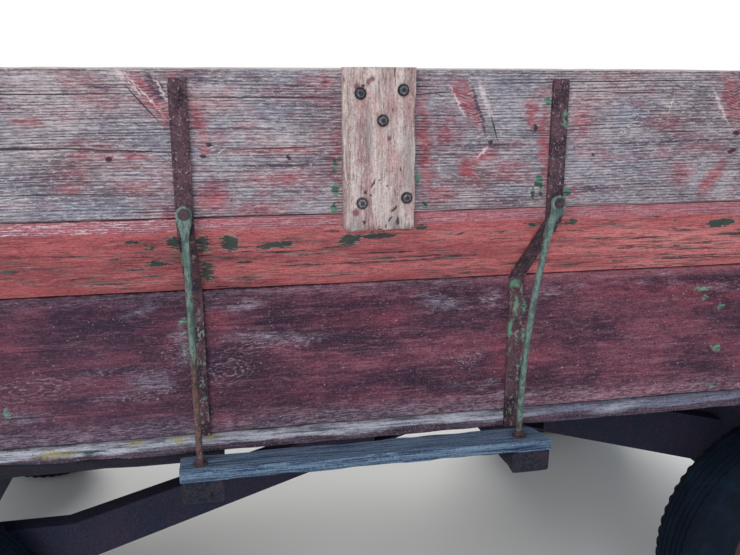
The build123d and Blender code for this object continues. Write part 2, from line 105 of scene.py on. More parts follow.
class Finish:
    """A procedural material, put together from small steps that each give a socket."""

    def __init__(self, name):
        self.material = bpy.data.materials.new(name)
        self.material.use_nodes = True
        self.tree = self.material.node_tree
        self.shader = self.tree.nodes["Principled BSDF"]
        self.at = self.node("ShaderNodeTexCoord").outputs["Object"]
        split = self.node("ShaderNodeSeparateXYZ")
        self.put(split.inputs[0], self.at)
        self.x, self.y, self.z = split.outputs

    def node(self, kind, **settings):
        made = self.tree.nodes.new(kind)
        for key, value in settings.items():
            setattr(made, key, value)
        return made

    def put(self, socket, value):
        if isinstance(value, bpy.types.NodeSocket):
            self.tree.links.new(value, socket)
        else:
            socket.default_value = value

    def calc(self, operation, *values):
        made = self.node("ShaderNodeMath", operation=operation)
        for socket, value in zip(made.inputs, values):
            self.put(socket, value)
        return made.outputs[0]

    def chain(self, operation, values):
        return reduce(lambda a, b: self.calc(operation, a, b), values)

    def add(self, *values):
        return self.chain("ADD", values)

    def times(self, *values):
        return self.chain("MULTIPLY", values)

    def most(self, *values):
        return self.chain("MAXIMUM", values)

    def less(self, a, b):
        """a, with b taken away from it, and never under 0."""
        return self.most(self.calc("SUBTRACT", a, b), 0)

    def step(self, value, start, end, low=0, high=1):
        """A soft step from low at start to high at end."""
        made = self.node("ShaderNodeMapRange", interpolation_type="SMOOTHSTEP")
        for socket, v in zip(made.inputs, (value, start, end, low, high)):
            self.put(socket, v)
        return made.outputs[0]

    def scaled(self, scale, shift=(0, 0, 0)):
        made = self.node("ShaderNodeMapping")
        self.put(made.inputs["Vector"], self.at)
        made.inputs["Scale"].default_value = scale
        made.inputs["Location"].default_value = shift
        return made.outputs[0]

    def noise(self, scale, detail=2, rough=0.5, shift=(0, 0, 0), colour=False):
        made = self.node("ShaderNodeTexNoise")
        self.put(made.inputs["Vector"], self.scaled(scale, shift))
        made.inputs["Scale"].default_value = 1
        made.inputs["Detail"].default_value = detail
        made.inputs["Roughness"].default_value = rough
        return made.outputs["Color" if colour else "Fac"]

    def cells(self, scale):
        made = self.node("ShaderNodeTexVoronoi")
        self.put(made.inputs["Vector"], self.scaled(scale))
        made.inputs["Scale"].default_value = 1
        return made.outputs["Distance"]

    def mix(self, share, a, b):
        """Between two colours. A colour is a socket, or a display colour of 0 to 255."""
        made = self.node("ShaderNodeMix", data_type="RGBA")
        self.put(made.inputs[0], share)
        for socket, colour in ((made.inputs[6], a), (made.inputs[7], b)):
            self.put(socket, colour if isinstance(colour, bpy.types.NodeSocket) else tint(*colour))
        return made.outputs[2]

    def wobbled(self, scale, size):
        """The place, moved by up to size, for ragged outlines."""
        cloud = self.noise(scale, 3, 0.6, colour=True)
        centred = self.node("ShaderNodeVectorMath", operation="SUBTRACT")
        self.put(centred.inputs[0], cloud)
        centred.inputs[1].default_value = (0.5, 0.5, 0.5)
        moved = self.node("ShaderNodeVectorMath", operation="MULTIPLY_ADD")
        self.put(moved.inputs[0], centred.outputs[0])
        moved.inputs[1].default_value = [2 * s for s in size]
        self.put(moved.inputs[2], self.at)
        return moved.outputs[0]

    def away(self, marks, at=None):
        """How far out from the nearest mark's middle, with 1 at its edge.

        A mark is (x, z, half length, half height) in millimetres, and its lean in degrees if it has one."""
        found = None
        for x, z, rx, rz, *lean in marks:
            made = self.node("ShaderNodeMapping", vector_type="TEXTURE")
            self.put(made.inputs["Vector"], at or self.at)
            made.inputs["Location"].default_value = (x * MM, 0, z * MM)
            made.inputs["Rotation"].default_value = (0, -radians(*lean or [0]), 0)
            made.inputs["Scale"].default_value = (rx * MM, 40, rz * MM)
            far = self.node("ShaderNodeVectorMath", operation="LENGTH")
            self.put(far.inputs[0], made.outputs[0])
            far = far.outputs["Value"]
            found = far if found is None else self.calc("MINIMUM", found, far)
        return found

    def spots(self, marks, soft=0.5, at=None, only_right=True):
        """1 inside each of the marks and 0 outside, and 0 on the left side if it is only for the right."""
        found = self.step(self.away(marks, at), 1, 1 - soft)
        if only_right:
            found = self.times(found, self.step(self.y, -0.3, -0.4))
        return found

    def coat(self, paint, where, share=1):
        """Lays a colour over what is there, where the mask says so."""
        self.colour = self.mix(self.times(where, share) if share != 1 else where, self.colour, paint)

    def fleck(self, paint, value, start, end, share=1):
        """Lays a colour over what is there, where a value passes from start to end."""
        self.coat(paint, self.step(value, start, end), share)

    def done(self, rough=0.85, height=None, depth=0.001, strength=0.6, shine=0.25):
        """The finished material. Height makes its grain stand out, by up to depth."""
        self.put(self.shader.inputs["Base Color"], self.colour)
        self.put(self.shader.inputs["Roughness"], rough)
        self.shader.inputs["Specular IOR Level"].default_value = shine
        if height is not None:
            bump = self.node("ShaderNodeBump")
            bump.inputs["Strength"].default_value = strength
            bump.inputs["Distance"].default_value = depth
            self.put(bump.inputs["Height"], height)
            self.put(self.shader.inputs["Normal"], bump.outputs[0])
        return self.material


def ring_lines(f, pitch, wander, bend=None, uneven=0):
    """Year rings seen on a board's face: lines along the grain that wander. 0 to 1."""
    field = f.times(f.z, 1 / pitch)
    field = f.add(field, f.times(f.noise((1.3, 3, 5), 2), wander))
    if uneven:
        field = f.add(field, f.times(f.noise((2.2, 2, 0.36 / pitch), 2, shift=(0, 5, 0)), uneven))
    if bend is not None:
        field = f.add(field, bend)
    wave = f.calc("SINE", f.times(field, 2 * pi))
    return f.step(wave, -0.9, 0.9)


# Marks on the top board: behind the patch board, in front of it, and elsewhere. Spikes are knots that were
# cut lengthwise.
BEHIND_PATCH = dict(
    spikes=[(-1082, 1512, 62, 19, -50), (-1145, 1416, 10, 8), (-1000, 1427, 14, 12, 60)],
    strong=[
        (-1008, 1472, 24, 64, 6), (-1066, 1486, 56, 14, -50), (-1066, 1320, 24, 22), (-991, 1350, 42, 48),
        (-1036, 1525, 10, 40, 40)],
    red=[
        (-1184, 1421, 24, 18), (-1255, 1473, 40, 14), (-1110, 1417, 50, 11), (-1108, 1373, 70, 16),
        (-1208, 1373, 40, 18), (-887, 1423, 130, 12), (-879, 1380, 120, 24), (-796, 1404, 18, 120),
        (-810, 1531, 32, 22), (-920, 1330, 80, 30)],
    blue=[(-1180, 1340, 170, 26), (-900, 1480, 90, 40)],
    smudge=[(-1150, 1523, 32, 6), (-1007, 1533, 14, 16), (-887, 1400, 100, 8)],
    heart=[(-1069, 1522, 30, 11.5, -56)],
    rim=[
        (-1087, 1513, 60, 2.4, -50), (-1062, 1518, 34, 3.6, -62), (-1100, 1520, 30, 1.8, -50),
        (-1120, 1540, 16, 7, -60), (-978, 1424, 20, 1.4, 30)],
    knots=[(-993, 1435, 5.5, 4.5), (-1005, 1418, 6, 3.8), (-871, 1413, 4.5, 6, 30), (-1145, 1415, 7, 5)],
    cracks=[
        (-1240, 1512, 200, 1.4), (-1290, 1432, 150, 2.8), (-1130, 1428, 110, 1.6, -3),
        (-900, 1506, 150, 1.2), (-1200, 1362, 160, 1), (-1090, 1497, 52, 1.4, -50),
        (-890, 1428, 120, 1.2, 1)],
    chips=[(-1047, 1496, 3, 11), (-797, 1398, 4, 14), (-797, 1360, 6, 12), (-799, 1330, 6, 10)])
BEFORE_PATCH = dict(
    spikes=[
        (-570, 1495, 66, 15, -67), (-460, 1465, 20, 7, -76), (-84, 1500, 60, 16, -70), (-76, 1443, 12, 9),
        (-80, 1411, 16, 8, 20)],
    strong=[
        (-648, 1430, 20, 150, 4), (-572, 1388, 24, 44, 20), (-464, 1480, 42, 14, -78),
        (-436, 1420, 18, 130, 6), (-112, 1366, 72, 24, 55), (-545, 1410, 42, 18, 35),
        (-586, 1500, 70, 16, -62), (-94, 1500, 70, 24, -72)],
    red=[
        (-374, 1463, 42, 64), (-376, 1345, 34, 20), (-179, 1375, 48, 44), (-610, 1450, 40, 60),
        (-500, 1385, 60, 34), (-620, 1345, 50, 30)],
    blue=[(-271, 1396, 85, 34), (-280, 1480, 80, 50, 30), (-500, 1350, 60, 20)],
    smudge=[
        (-232, 1430, 200, 9.5, 1), (-546, 1427, 135, 7.5, 1), (-259, 1409, 24, 15), (-340, 1350, 60, 16)],
    heart=[(-555, 1485, 52, 3.8, -72), (-72, 1505, 50, 4.4, -80)],
    rim=[
        (-546, 1502, 50, 6.5, -66), (-594, 1500, 46, 3.4, -60), (-208, 1492, 26, 1.8, -102),
        (-548, 1416, 22, 3.5, 50), (-282, 1459, 40, 0.9, 47), (-112, 1490, 50, 5, -60)],
    knots=[
        (-455, 1456, 4.5, 8, 10), (-349, 1409, 4, 4), (-76, 1443, 9, 6), (-80, 1411, 11, 5, 20),
        (-534, 1433, 7, 4, 20)],
    cracks=[
        (-330, 1531, 280, 1.3, 1), (-640, 1512, 60, 1.3, 4), (-300, 1513, 200, 1, -1),
        (-280, 1462, 36, 1, 47), (-531, 1465, 40, 1.8, -72)],
    chips=[
        (-436, 1499, 5, 7, 30), (-445, 1366, 9, 12), (-455, 1346, 4, 13), (-440, 1350, 4, 12),
        (-390, 1345, 8, 9), (-658, 1378, 4, 9), (-646, 1330, 5, 7)])
ELSEWHERE = dict(
    spikes=[(-1900, 1460, 40, 9, -60), (520, 1480, 40, 8, -70)],
    strong=[(-1880, 1450, 60, 30, -60), (540, 1460, 50, 14, 70)],
    red=[(100, 1400, 100, 50), (-1500, 1360, 120, 50)],
    blue=[(-1700, 1500, 200, 30), (300, 1360, 200, 30)],
    smudge=[(-1600, 1400, 300, 10), (600, 1420, 200, 10)],
    heart=[(-1900, 1460, 34, 2.5, -60)],
    rim=[(-1885, 1465, 40, 2.5, -60)],
    knots=[(-1620, 1420, 10, 8), (300, 1450, 9, 8), (740, 1380, 11, 7)],
    cracks=[
        (-1800, 1480, 300, 1.3), (-2050, 1400, 260, 1.5, 1), (350, 1500, 300, 1.3),
        (500, 1392, 330, 1.4, -1)],
    chips=[(-2100, 1400, 10, 12)])


def top_paint(name, marks, only_right=True):
    """Paint gone nearly to bare wood, with red left beside the knots."""
    f = Finish(name)
    loose = f.wobbled((20, 3, 50), (0.008, 0, 0.005))
    ragged = f.wobbled((110, 3, 150), (0.008, 0, 0.006))
    broad = f.wobbled((28, 3, 60), (0.022, 0, 0.012))

    def found(key, soft, at=loose):
        return f.spots(marks[key], soft, at, only_right)

    core = found("spikes", 0.7)
    rings = ring_lines(f, 0.005, 5, f.spots(marks["spikes"], 1, f.at, only_right), 2.4)
    grit = f.noise((105, 60, 420), 3, 0.85)
    dash = f.noise((60, 40, 540), 3, 0.75, shift=(3, 0, 1))
    cloud = f.noise((7, 3, 15), 5, 0.62)
    wide = f.noise((2.6, 3, 6), 4, 0.6, shift=(4, 0, 4))
    streak = f.noise((9, 12, 120), 5, 0.75)
    f.colour = f.mix(f.step(cloud, 0.36, 0.62), (108, 98, 106), (164, 154, 158))
    blue = f.most(found("blue", 1), f.times(f.step(wide, 0.44, 0.62), 0.6))
    f.coat((128, 136, 152), blue, 0.8)
    scattered = f.step(f.noise((9, 3, 21), 6, 0.68, shift=(5, 0, 2)), 0.49, 0.6)
    red = f.most(f.times(found("red", 1, broad), 0.95), f.times(scattered, 0.5))
    red = f.times(red, f.step(dash, 0.62, 0.4, 0.3, 1))
    strong = f.times(f.most(found("strong", 0.9, broad), f.times(core, 0.9)),
                     f.step(dash, 0.66, 0.4, 0.6, 1))
    red = f.most(red, strong)
    f.coat(f.mix(f.step(streak, 0.4, 0.6), (138, 62, 74), (170, 80, 88)), red, 0.95)
    clear = f.less(1, f.times(red, 0.75))
    smudge = f.times(found("smudge", 0.9), f.step(streak, 0.7, 0.3, 0.6, 1))
    f.coat((76, 64, 84), smudge)
    lines = f.times(f.step(rings, 0.5, 0.05), f.step(streak, 0.62, 0.38, 0.15, 1))
    f.coat((68, 48, 60), lines, 0.78)
    bright = f.times(f.step(rings, 0.3, 0.9), f.step(dash, 0.48, 0.62), clear)
    f.coat((212, 204, 208), bright, 0.42)
    f.coat((208, 198, 202), f.times(f.step(grit, 0.54, 0.66), 0.62, clear))
    f.fleck((60, 46, 58), grit, 0.47, 0.35, 0.74)
    f.fleck((62, 46, 58), dash, 0.42, 0.34, 0.55)
    f.coat((72, 50, 70), f.times(found("heart", 0.4), f.step(grit, 0.6, 0.45, 0.5, 0.9)))
    knots = found("knots", 0.5)
    cracks = f.spots(marks["cracks"], 0.5, f.wobbled((6, 3, 6), (0, 0, 0.003)), only_right)
    opened = f.step(f.noise((2.2, 20, 170), 2), 0.7, 0.73)
    cracks = f.most(cracks, knots, f.times(opened, 0.85))
    f.coat((46, 32, 42), cracks, 0.9)
    f.coat((216, 198, 200), f.times(found("rim", 0.8, ragged), f.step(dash, 0.4, 0.52, 0.2, 0.8)))
    chips = f.step(f.noise((30, 26, 60), 4, 0.65, shift=(3, 3, 3)), 0.735, 0.745)
    chips = f.most(found("chips", 0.3, ragged), chips)
    f.coat(f.mix(f.step(streak, 0.45, 0.55), (46, 70, 68), (96, 134, 114)), chips)
    # Painted highlight: a pale band along the top edge stands in for the line of light that catches it.
    f.fleck((196, 186, 180), f.z, TOP_Z - 0.005, TOP_Z - 0.002, 0.7)
    height = f.add(f.times(rings, 0.35), f.add(f.times(grit, 0.7), f.times(dash, 0.5)))
    height = f.less(f.add(height, 0.5), f.times(opened, 1.4))
    return f.done(f.step(grit, 0.2, 0.8, 0.75, 0.95), height, 0.0015, 0.6)


def flare_paint():
    """Red paint that still holds, flaking along the grain to green and to dark wood."""
    f = Finish("flare_board_paint")
    fine = f.noise((50, 90, 460), 3, 0.8)
    grit = f.noise((240, 200, 340), 3, 0.85, shift=(1, 0, 0))
    streak = f.noise((6, 20, 130), 5, 0.72)
    soft = f.noise((3.5, 10, 18), 5, 0.65)
    sun = f.step(f.x, -1.35, -0.05)
    f.colour = f.mix(f.step(soft, 0.36, 0.66), f.mix(sun, (164, 78, 86), (200, 102, 106)),
                     f.mix(sun, (210, 112, 114), (246, 148, 146)))
    f.fleck((116, 52, 62), streak, 0.47, 0.35, 0.7)
    f.fleck((98, 44, 54), fine, 0.47, 0.36, 0.75)
    f.fleck((98, 44, 56), grit, 0.47, 0.35, 0.65)
    f.fleck((226, 146, 144), grit, 0.54, 0.66, 0.4)
    pale = f.times(f.step(f.noise((26, 40, 210), 5, 0.72, shift=(1, 1, 1)), 0.54, 0.66), 0.6)
    f.coat((222, 148, 146), pale)
    rings = ring_lines(f, 0.0036, 7, None, 2)
    far_back = f.step(f.x, -0.92, -1.12, 0.35, 0.9)
    paint = f.colour
    f.colour = f.mix(rings, (112, 60, 72), (168, 110, 120))
    f.fleck((166, 90, 98), streak, 0.42, 0.56, 0.7)
    f.coat((198, 182, 190), f.times(f.step(fine, 0.5, 0.62), far_back))
    f.fleck((82, 52, 64), grit, 0.48, 0.36, 0.75)
    height = f.add(f.z, f.times(f.noise((24, 10, 30), 5, 0.7), 0.012))
    edge = f.step(height, FLARE_Z + 0.004, FLARE_Z + 0.007)
    f.colour = f.mix(edge, paint, f.colour)
    ragged = f.wobbled((60, 34, 260), (0.03, 0, 0.01))
    green = f.spots([
        (-1060, 1277, 13, 19), (-1012, 1271, 14, 24), (-1011, 1208, 14, 34), (-970, 1272, 20, 24),
        (-1122, 1282, 18, 4.5), (-1097, 1268, 7, 9), (-1093, 1233, 22, 8), (-770, 1270, 25, 17),
        (-719, 1276, 43, 8), (-651, 1291, 15, 6), (-894, 1264, 38, 9, 8), (-66, 1277, 35, 15),
        (-447, 1289, 18, 5), (-375, 1291, 15, 8, 12)], 0.35, ragged)
    dark_along = f.spots([
        (-1134, 1220, 30, 9), (-1320, 1207, 40, 3.5), (-1306, 1198, 45, 4), (-1180, 1188, 100, 7),
        (-1175, 1264, 8, 5), (-824, 1240, 75, 6), (-584, 1273, 55, 6), (-688, 1219, 27, 5),
        (-617, 1200, 11, 6), (-534, 1188, 34, 5), (-943, 1188, 60, 9), (-757, 1187, 60, 6),
        (-499, 1275, 40, 7), (-168, 1286, 10, 6), (-138, 1221, 100, 10), (-217, 1187, 26, 4),
        (-110, 1190, 90, 6), (-141, 1171, 240, 4)], 0.8, ragged)
    dark_along = f.times(dark_along, f.step(fine, 0.6, 0.46))
    crowd = f.times(f.step(f.noise((3, 9, 11), 3, 0.6, shift=(7, 7, 0)), 0.42, 0.56), 0.075)
    flakes = f.step(f.add(f.noise((11, 30, 150), 5, 0.7, shift=(2, 2, 2)), crowd), 0.64, 0.66)
    slits = f.step(f.add(f.noise((14, 30, 420), 3, 0.7, shift=(5, 2, 0)), crowd), 0.63, 0.66)
    chipped = f.most(green, dark_along, f.times(f.most(flakes, f.times(slits, 0.8)), f.step(edge, 0.5, 0)))
    under = f.mix(f.step(f.noise((30, 30, 90), 4, 0.7), 0.46, 0.54), (62, 38, 54), (66, 88, 86))
    under = f.mix(f.times(green, f.step(fine, 0.62, 0.48)), under, (24, 76, 66))
    f.coat(under, chipped, 0.92)
    rim = f.times(f.step(chipped, 0.05, 0.4), f.step(chipped, 0.9, 0.5))
    f.coat((222, 162, 158), rim, 0.65)
    height = f.less(f.add(0.9, f.times(f.add(fine, streak), 0.3)), f.times(chipped, 0.9))
    height = f.add(height, f.times(edge, rings, 0.3))
    return f.done(f.step(chipped, 0, 1, 0.62, 0.9), height, 0.0016, 0.7, 0.35)


def lower_paint():
    """Maroon paint worn thin, with the figure of the wood showing pale through it."""
    f = Finish("lower_board_paint")
    field = f.noise((0.85, 2, 4.2), 3, 0.45)
    figure = f.step(f.calc("SINE", f.times(field, 190)), -0.5, 0.9)
    grit = f.noise((240, 60, 360), 3, 0.85)
    dash = f.noise((80, 40, 460), 3, 0.75, shift=(3, 0, 1))
    streak = f.noise((11, 14, 140), 5, 0.75)
    cloud = f.noise((4, 3, 10), 5, 0.6, shift=(4, 1, 0))
    worn = f.wobbled((9, 3, 24), (0.05, 0, 0.024))
    f.colour = f.mix(f.step(cloud, 0.4, 0.6), (54, 36, 54), (114, 64, 80))
    f.fleck((146, 96, 110), streak, 0.51, 0.62, 0.5)
    f.fleck((60, 38, 54), streak, 0.48, 0.36, 0.5)
    warm = f.spots([
        (-1085, 1085, 55, 80), (-1000, 1090, 40, 60), (-100, 1118, 240, 28), (-1000, 905, 35, 20),
        (-1370, 1070, 60, 70), (-745, 1089, 160, 35), (-400, 980, 100, 60)], 1)
    scattered = f.step(f.noise((7, 4, 15), 6, 0.68, shift=(0, 7, 3)), 0.54, 0.68)
    red = f.most(f.times(warm, 0.9), f.times(scattered, 0.6))
    f.coat((162, 78, 92), f.times(red, f.step(dash, 0.6, 0.42, 0.35, 0.8)))
    stained = f.times(f.step(f.noise((3.6, 3, 10), 6, 0.66, shift=(8, 2, 5)), 0.47, 0.6), 0.8)
    stained = f.most(stained, f.spots([
        (-720, 957, 270, 32, 1), (-1280, 1090, 120, 50), (-1200, 1022, 220, 12), (-1250, 965, 120, 14),
        (-875, 1118, 55, 28), (-745, 1026, 65, 13), (-250, 930, 75, 14, 15), (30, 940, 70, 40),
        (-190, 1124, 90, 9, -8), (-1200, 930, 120, 20)], 1, worn))
    f.coat((46, 30, 50), f.times(stained, f.step(streak, 0.64, 0.44, 0.55, 0.95)))
    nearly_top = f.step(f.z, LOWER_Z - 0.03, LOWER_Z - 0.002)
    nearly_low = f.step(f.z, STRIP_Z + 0.055, STRIP_Z + 0.004)
    in_front = f.times(nearly_top, f.step(f.x, -0.56, -0.42))
    f.coat((168, 92, 104), f.times(in_front, f.step(dash, 0.62, 0.42, 0.3, 0.75)))
    pale_places = f.spots([
        (-1135, 1126, 48, 14, 10), (-1133, 990, 70, 34), (-958, 1128, 45, 22), (-900, 1062, 120, 20),
        (-1060, 1060, 22, 60), (-350, 1125, 55, 20), (-460, 1120, 22, 30), (-180, 880, 85, 16, 6),
        (-330, 880, 70, 18, 6), (-478, 1118, 22, 16), (-1360, 940, 80, 20)], 1, worn)
    bare = f.most(f.times(nearly_top, 0.4), f.most(f.times(nearly_low, 0.8), pale_places))
    bare = f.most(bare, f.times(f.step(f.noise((4, 3, 13), 6, 0.68, shift=(1, 9, 1)), 0.55, 0.68), 0.8))
    f.coat(f.mix(f.step(f.x, -0.52, -0.3), (132, 122, 142), (158, 110, 124)), bare, 0.36)
    scratch = f.times(f.step(f.add(dash, f.times(streak, 0.3)), 0.62, 0.74), bare)
    f.coat((176, 166, 180), scratch, 0.62)
    far = f.away([
        (-1345, 990, 105, 26, 3), (-1150, 1010, 90, 14, -3), (-1080, 1045, 20, 34), (-985, 1000, 50, 32, 8),
        (-1135, 968, 60, 14, 8), (-515, 995, 34, 18), (-900, 1050, 110, 20, 4)],
        f.wobbled((22, 3, 60), (0.03, 0, 0.014)))
    loops = f.times(f.step(f.calc("SINE", f.times(far, 27)), 0.4, 0.98), f.step(far, 1.15, 0.7))
    loops = f.times(loops, f.step(dash, 0.4, 0.58), f.step(f.y, -0.3, -0.4))
    f.coat((180, 164, 176), loops, 0.55)
    f.coat((56, 36, 54), figure, 0.22)
    f.fleck((160, 116, 132), grit, 0.54, 0.66, 0.32)
    f.fleck((34, 22, 38), grit, 0.47, 0.36, 0.7)
    f.fleck((38, 24, 38), dash, 0.46, 0.35, 0.65)
    f.fleck((172, 124, 138), dash, 0.56, 0.66, 0.26)
    dots = f.step(f.noise((150, 60, 190), 2, 0.6, shift=(4, 4, 0)), 0.69, 0.72)
    f.coat((182, 168, 176), dots, 0.6)
    # Painted shade: the board turns darker and bluer towards the rear.
    f.coat((44, 38, 58), f.step(f.x, -0.7, -1.4, 0, 0.3))
    chance = f.noise((46, 38, 60), 4, 0.68, shift=(2, 0, 7))
    placed = f.spots([
        (50, 1071, 13, 10), (49, 979, 15, 10), (49, 894, 9, 8), (3, 1114, 24, 8), (7, 1094, 7, 10),
        (-397, 1095, 8, 28), (-395, 1036, 9, 26), (-393, 985, 7, 26), (-1384, 948, 8, 16),
        (-1062, 1106, 10, 10), (-1059, 1084, 7, 5), (-1062, 1050, 4, 20)],
        0.6, f.wobbled((110, 3, 110), (0.014, 0, 0.012)))
    specks = f.most(f.step(chance, 0.715, 0.73), f.times(placed, f.step(chance, 0.38, 0.46)))
    f.coat(f.mix(f.step(dash, 0.45, 0.55), (58, 96, 86), (122, 156, 134)), specks, 0.85)
    opened = f.step(f.noise((1.8, 20, 150), 2, shift=(3, 0, 0)), 0.72, 0.74)
    f.coat((30, 20, 30), opened, 0.7)
    height = f.add(f.times(figure, 0.2), f.add(grit, f.times(f.add(streak, dash), 0.4)))
    return f.done(0.82, f.less(height, opened), 0.0013, 0.6)


def strip_paint():
    """Pale along its top, purple-brown below, with lichen and the green coat where it rots."""
    f = Finish("strip_paint")
    grit = f.noise((240, 240, 340), 3, 0.85)
    fine = f.noise((40, 60, 480), 4, 0.78)
    ahead = f.step(f.x, -0.45, -0.3)
    streak = f.noise((8, 30, 130), 5, 0.74)
    along = f.add(f.z, f.times(f.noise((7, 6, 40), 5, 0.7), 0.034))
    upper = f.step(along, BOTTOM_Z + 0.031, BOTTOM_Z + 0.037)
    pale = f.mix(f.step(streak, 0.38, 0.6), (84, 86, 100), f.mix(ahead, (174, 176, 188), (116, 118, 140)))
    deep = f.mix(f.step(streak, 0.38, 0.62), (44, 38, 52), (94, 74, 90))
    f.colour = f.mix(upper, deep, pale)
    whitish = f.spots([(-180, 862, 80, 16, 6), (-1360, 868, 50, 10), (-550, 870, 160, 8)], 1)
    f.coat((176, 178, 192), f.times(whitish, f.step(fine, 0.4, 0.56, 0.2, 0.7)))
    f.fleck((34, 28, 38), fine, 0.46, 0.34, 0.75)
    f.fleck((38, 32, 42), grit, 0.46, 0.33, 0.6)
    f.fleck((178, 174, 186), grit, 0.55, 0.68, 0.4)
    worn = f.wobbled((50, 5, 80), (0.024, 0, 0.009))
    green = f.spots([(-1236, 860, 30, 6), (-1370, 848, 30, 5)], 0.4, worn)
    f.coat((24, 56, 54), f.times(green, f.step(streak, 0.66, 0.5)))
    lichen = f.spots([
        (-1305, 864, 55, 12), (-1166, 873, 22, 8), (-1085, 872, 26, 8), (-1020, 872, 22, 10)], 0.9, worn)
    lichen = f.times(lichen, f.step(f.noise((150, 150, 150), 4, 0.75), 0.42, 0.52))
    f.coat((146, 138, 74), lichen, 0.85)
    height = f.add(fine, grit, f.add(f.times(streak, 0.6), f.times(lichen, 0.5)))
    return f.done(0.85, height, 0.0015, 0.6)


def bare_wood(name, dark, light, grain, worn=(120, 110, 104), paint=None, places=()):
    """Old unpainted timber. grain gives how tightly its fibres lie along each axis."""
    f = Finish(name)
    fine = f.noise(tuple(7 if g == 0 else g for g in grain), 4, 0.7)
    grit = f.noise((250, 250, 250), 3, 0.85, shift=(0, 4, 0))
    slow = f.noise(tuple(1.4 if g == 0 else g / 7 for g in grain), 3, 0.6, shift=(3, 1, 2))
    f.colour = f.mix(f.step(fine, 0.38, 0.62), dark, light)
    f.fleck(worn, slow, 0.45, 0.7, 0.6)
    f.fleck([c * 0.55 for c in dark], grit, 0.46, 0.33, 0.6)
    f.fleck([min(255, c * 1.25 + 8) for c in light], grit, 0.55, 0.68, 0.45)
    checks = f.step(f.noise(tuple(1.6 if g == 0 else g / 2.2 for g in grain), 1, shift=(9, 4, 6)), 0.71,
                    0.74)
    f.coat([c * 0.4 for c in dark], checks, 0.85)
    if paint:
        left = f.step(f.noise((16, 16, 16), 4, 0.65, shift=(1, 2, 3)), 0.6, 0.64)
        if places:
            flat = f.node("ShaderNodeCombineXYZ")
            for socket, value in zip(flat.inputs, (f.x, f.z, f.y)):
                f.put(socket, value)
            left = f.times(f.spots(places, 0.9, flat.outputs[0]), f.step(fine, 0.62, 0.46))
        f.coat(paint, left, 0.85)
    height = f.less(f.add(fine, f.times(grit, 0.5), 0.3), f.times(checks, 1.2))
    return f.done(0.88, height, 0.0013, 0.6)


# The patch board's bolts, and the dark ring round each, as marks: the ring is partly stain and partly painted
# shadow at the bolt's foot.
PATCH_BOLTS = [
    (-758, 1512, 14, 16), (-689, 1517, 13, 18), (-722, 1470, 15, 18), (-756, 1339, 13, 14),
    (-682, 1346, 14, 14)]


def patch_wood():
    """The pinkish, unpainted patch board, its grain upright, with knots and worm holes."""
    f = Finish("patch_wood")
    fine = f.noise((340, 50, 40), 4, 0.78)
    streak = f.noise((70, 12, 5), 4, 0.65)
    cloud = f.noise((30, 12, 16), 4, 0.65, shift=(2, 0, 1))
    f.colour = f.mix(f.step(streak, 0.36, 0.62), (142, 120, 118), (196, 182, 178))
    f.fleck((170, 130, 130), cloud, 0.46, 0.62, 0.6)
    grit = f.noise((340, 240, 240), 3, 0.85, shift=(0, 4, 0))
    f.fleck((222, 210, 204), fine, 0.54, 0.66, 0.55)
    f.fleck((94, 72, 76), fine, 0.47, 0.36, 0.8)
    f.fleck((92, 72, 76), grit, 0.46, 0.33, 0.6)
    f.fleck((236, 228, 220), grit, 0.56, 0.68, 0.4)
    grey = f.spots([
        (-680, 1400, 22, 110), (-765, 1310, 20, 18), (-700, 1305, 30, 20), (-745, 1450, 12, 80)], 1)
    f.coat((120, 116, 120), grey, 0.55)
    ragged = f.wobbled((120, 10, 120), (0.003, 0, 0.003))
    red = f.spots([
        (-763, 1520, 7, 11), (-739, 1534, 7, 6), (-766, 1324, 9, 9), (-745, 1530, 4, 8), (-711, 1442, 5, 6)],
        0.6, ragged)
    f.coat((112, 62, 72), red, 0.85)
    # Partly stain and partly painted shadow: a dark ring round each bolt.
    stain_and_shadow_round_bolts = f.spots(PATCH_BOLTS, 0.8, ragged)
    f.coat((92, 68, 74), stain_and_shadow_round_bolts, 0.75)
    holes = f.spots([
        (-753, 1523, 3, 3), (-750, 1357, 3, 4, 30), (-741, 1352, 2, 2), (-738, 1370, 2, 10, -25),
        (-709, 1312, 2, 7, -35), (-703, 1328, 2.5, 9, -40), (-752, 1308, 3.5, 4), (-716, 1300, 2, 5),
        (-697, 1308, 3, 9), (-728, 1376, 2, 2), (-715, 1367, 2, 2)], 0.5, ragged)
    holes = f.most(holes, f.step(f.noise((200, 3, 30), 2, 0.5, shift=(1, 1, 1)), 0.72, 0.75))
    f.coat((60, 38, 44), holes, 0.88)
    low = f.times(f.step(f.add(f.z, f.times(fine, 0.02)), 1.32, 1.298), f.step(cloud, 0.4, 0.52))
    f.coat((66, 62, 66), low, 0.7)
    height = f.less(f.add(f.times(fine, 0.8), f.add(0.4, f.times(streak, 0.5))), f.times(holes, 1.5))
    return f.done(0.86, height, 0.0013, 0.65)


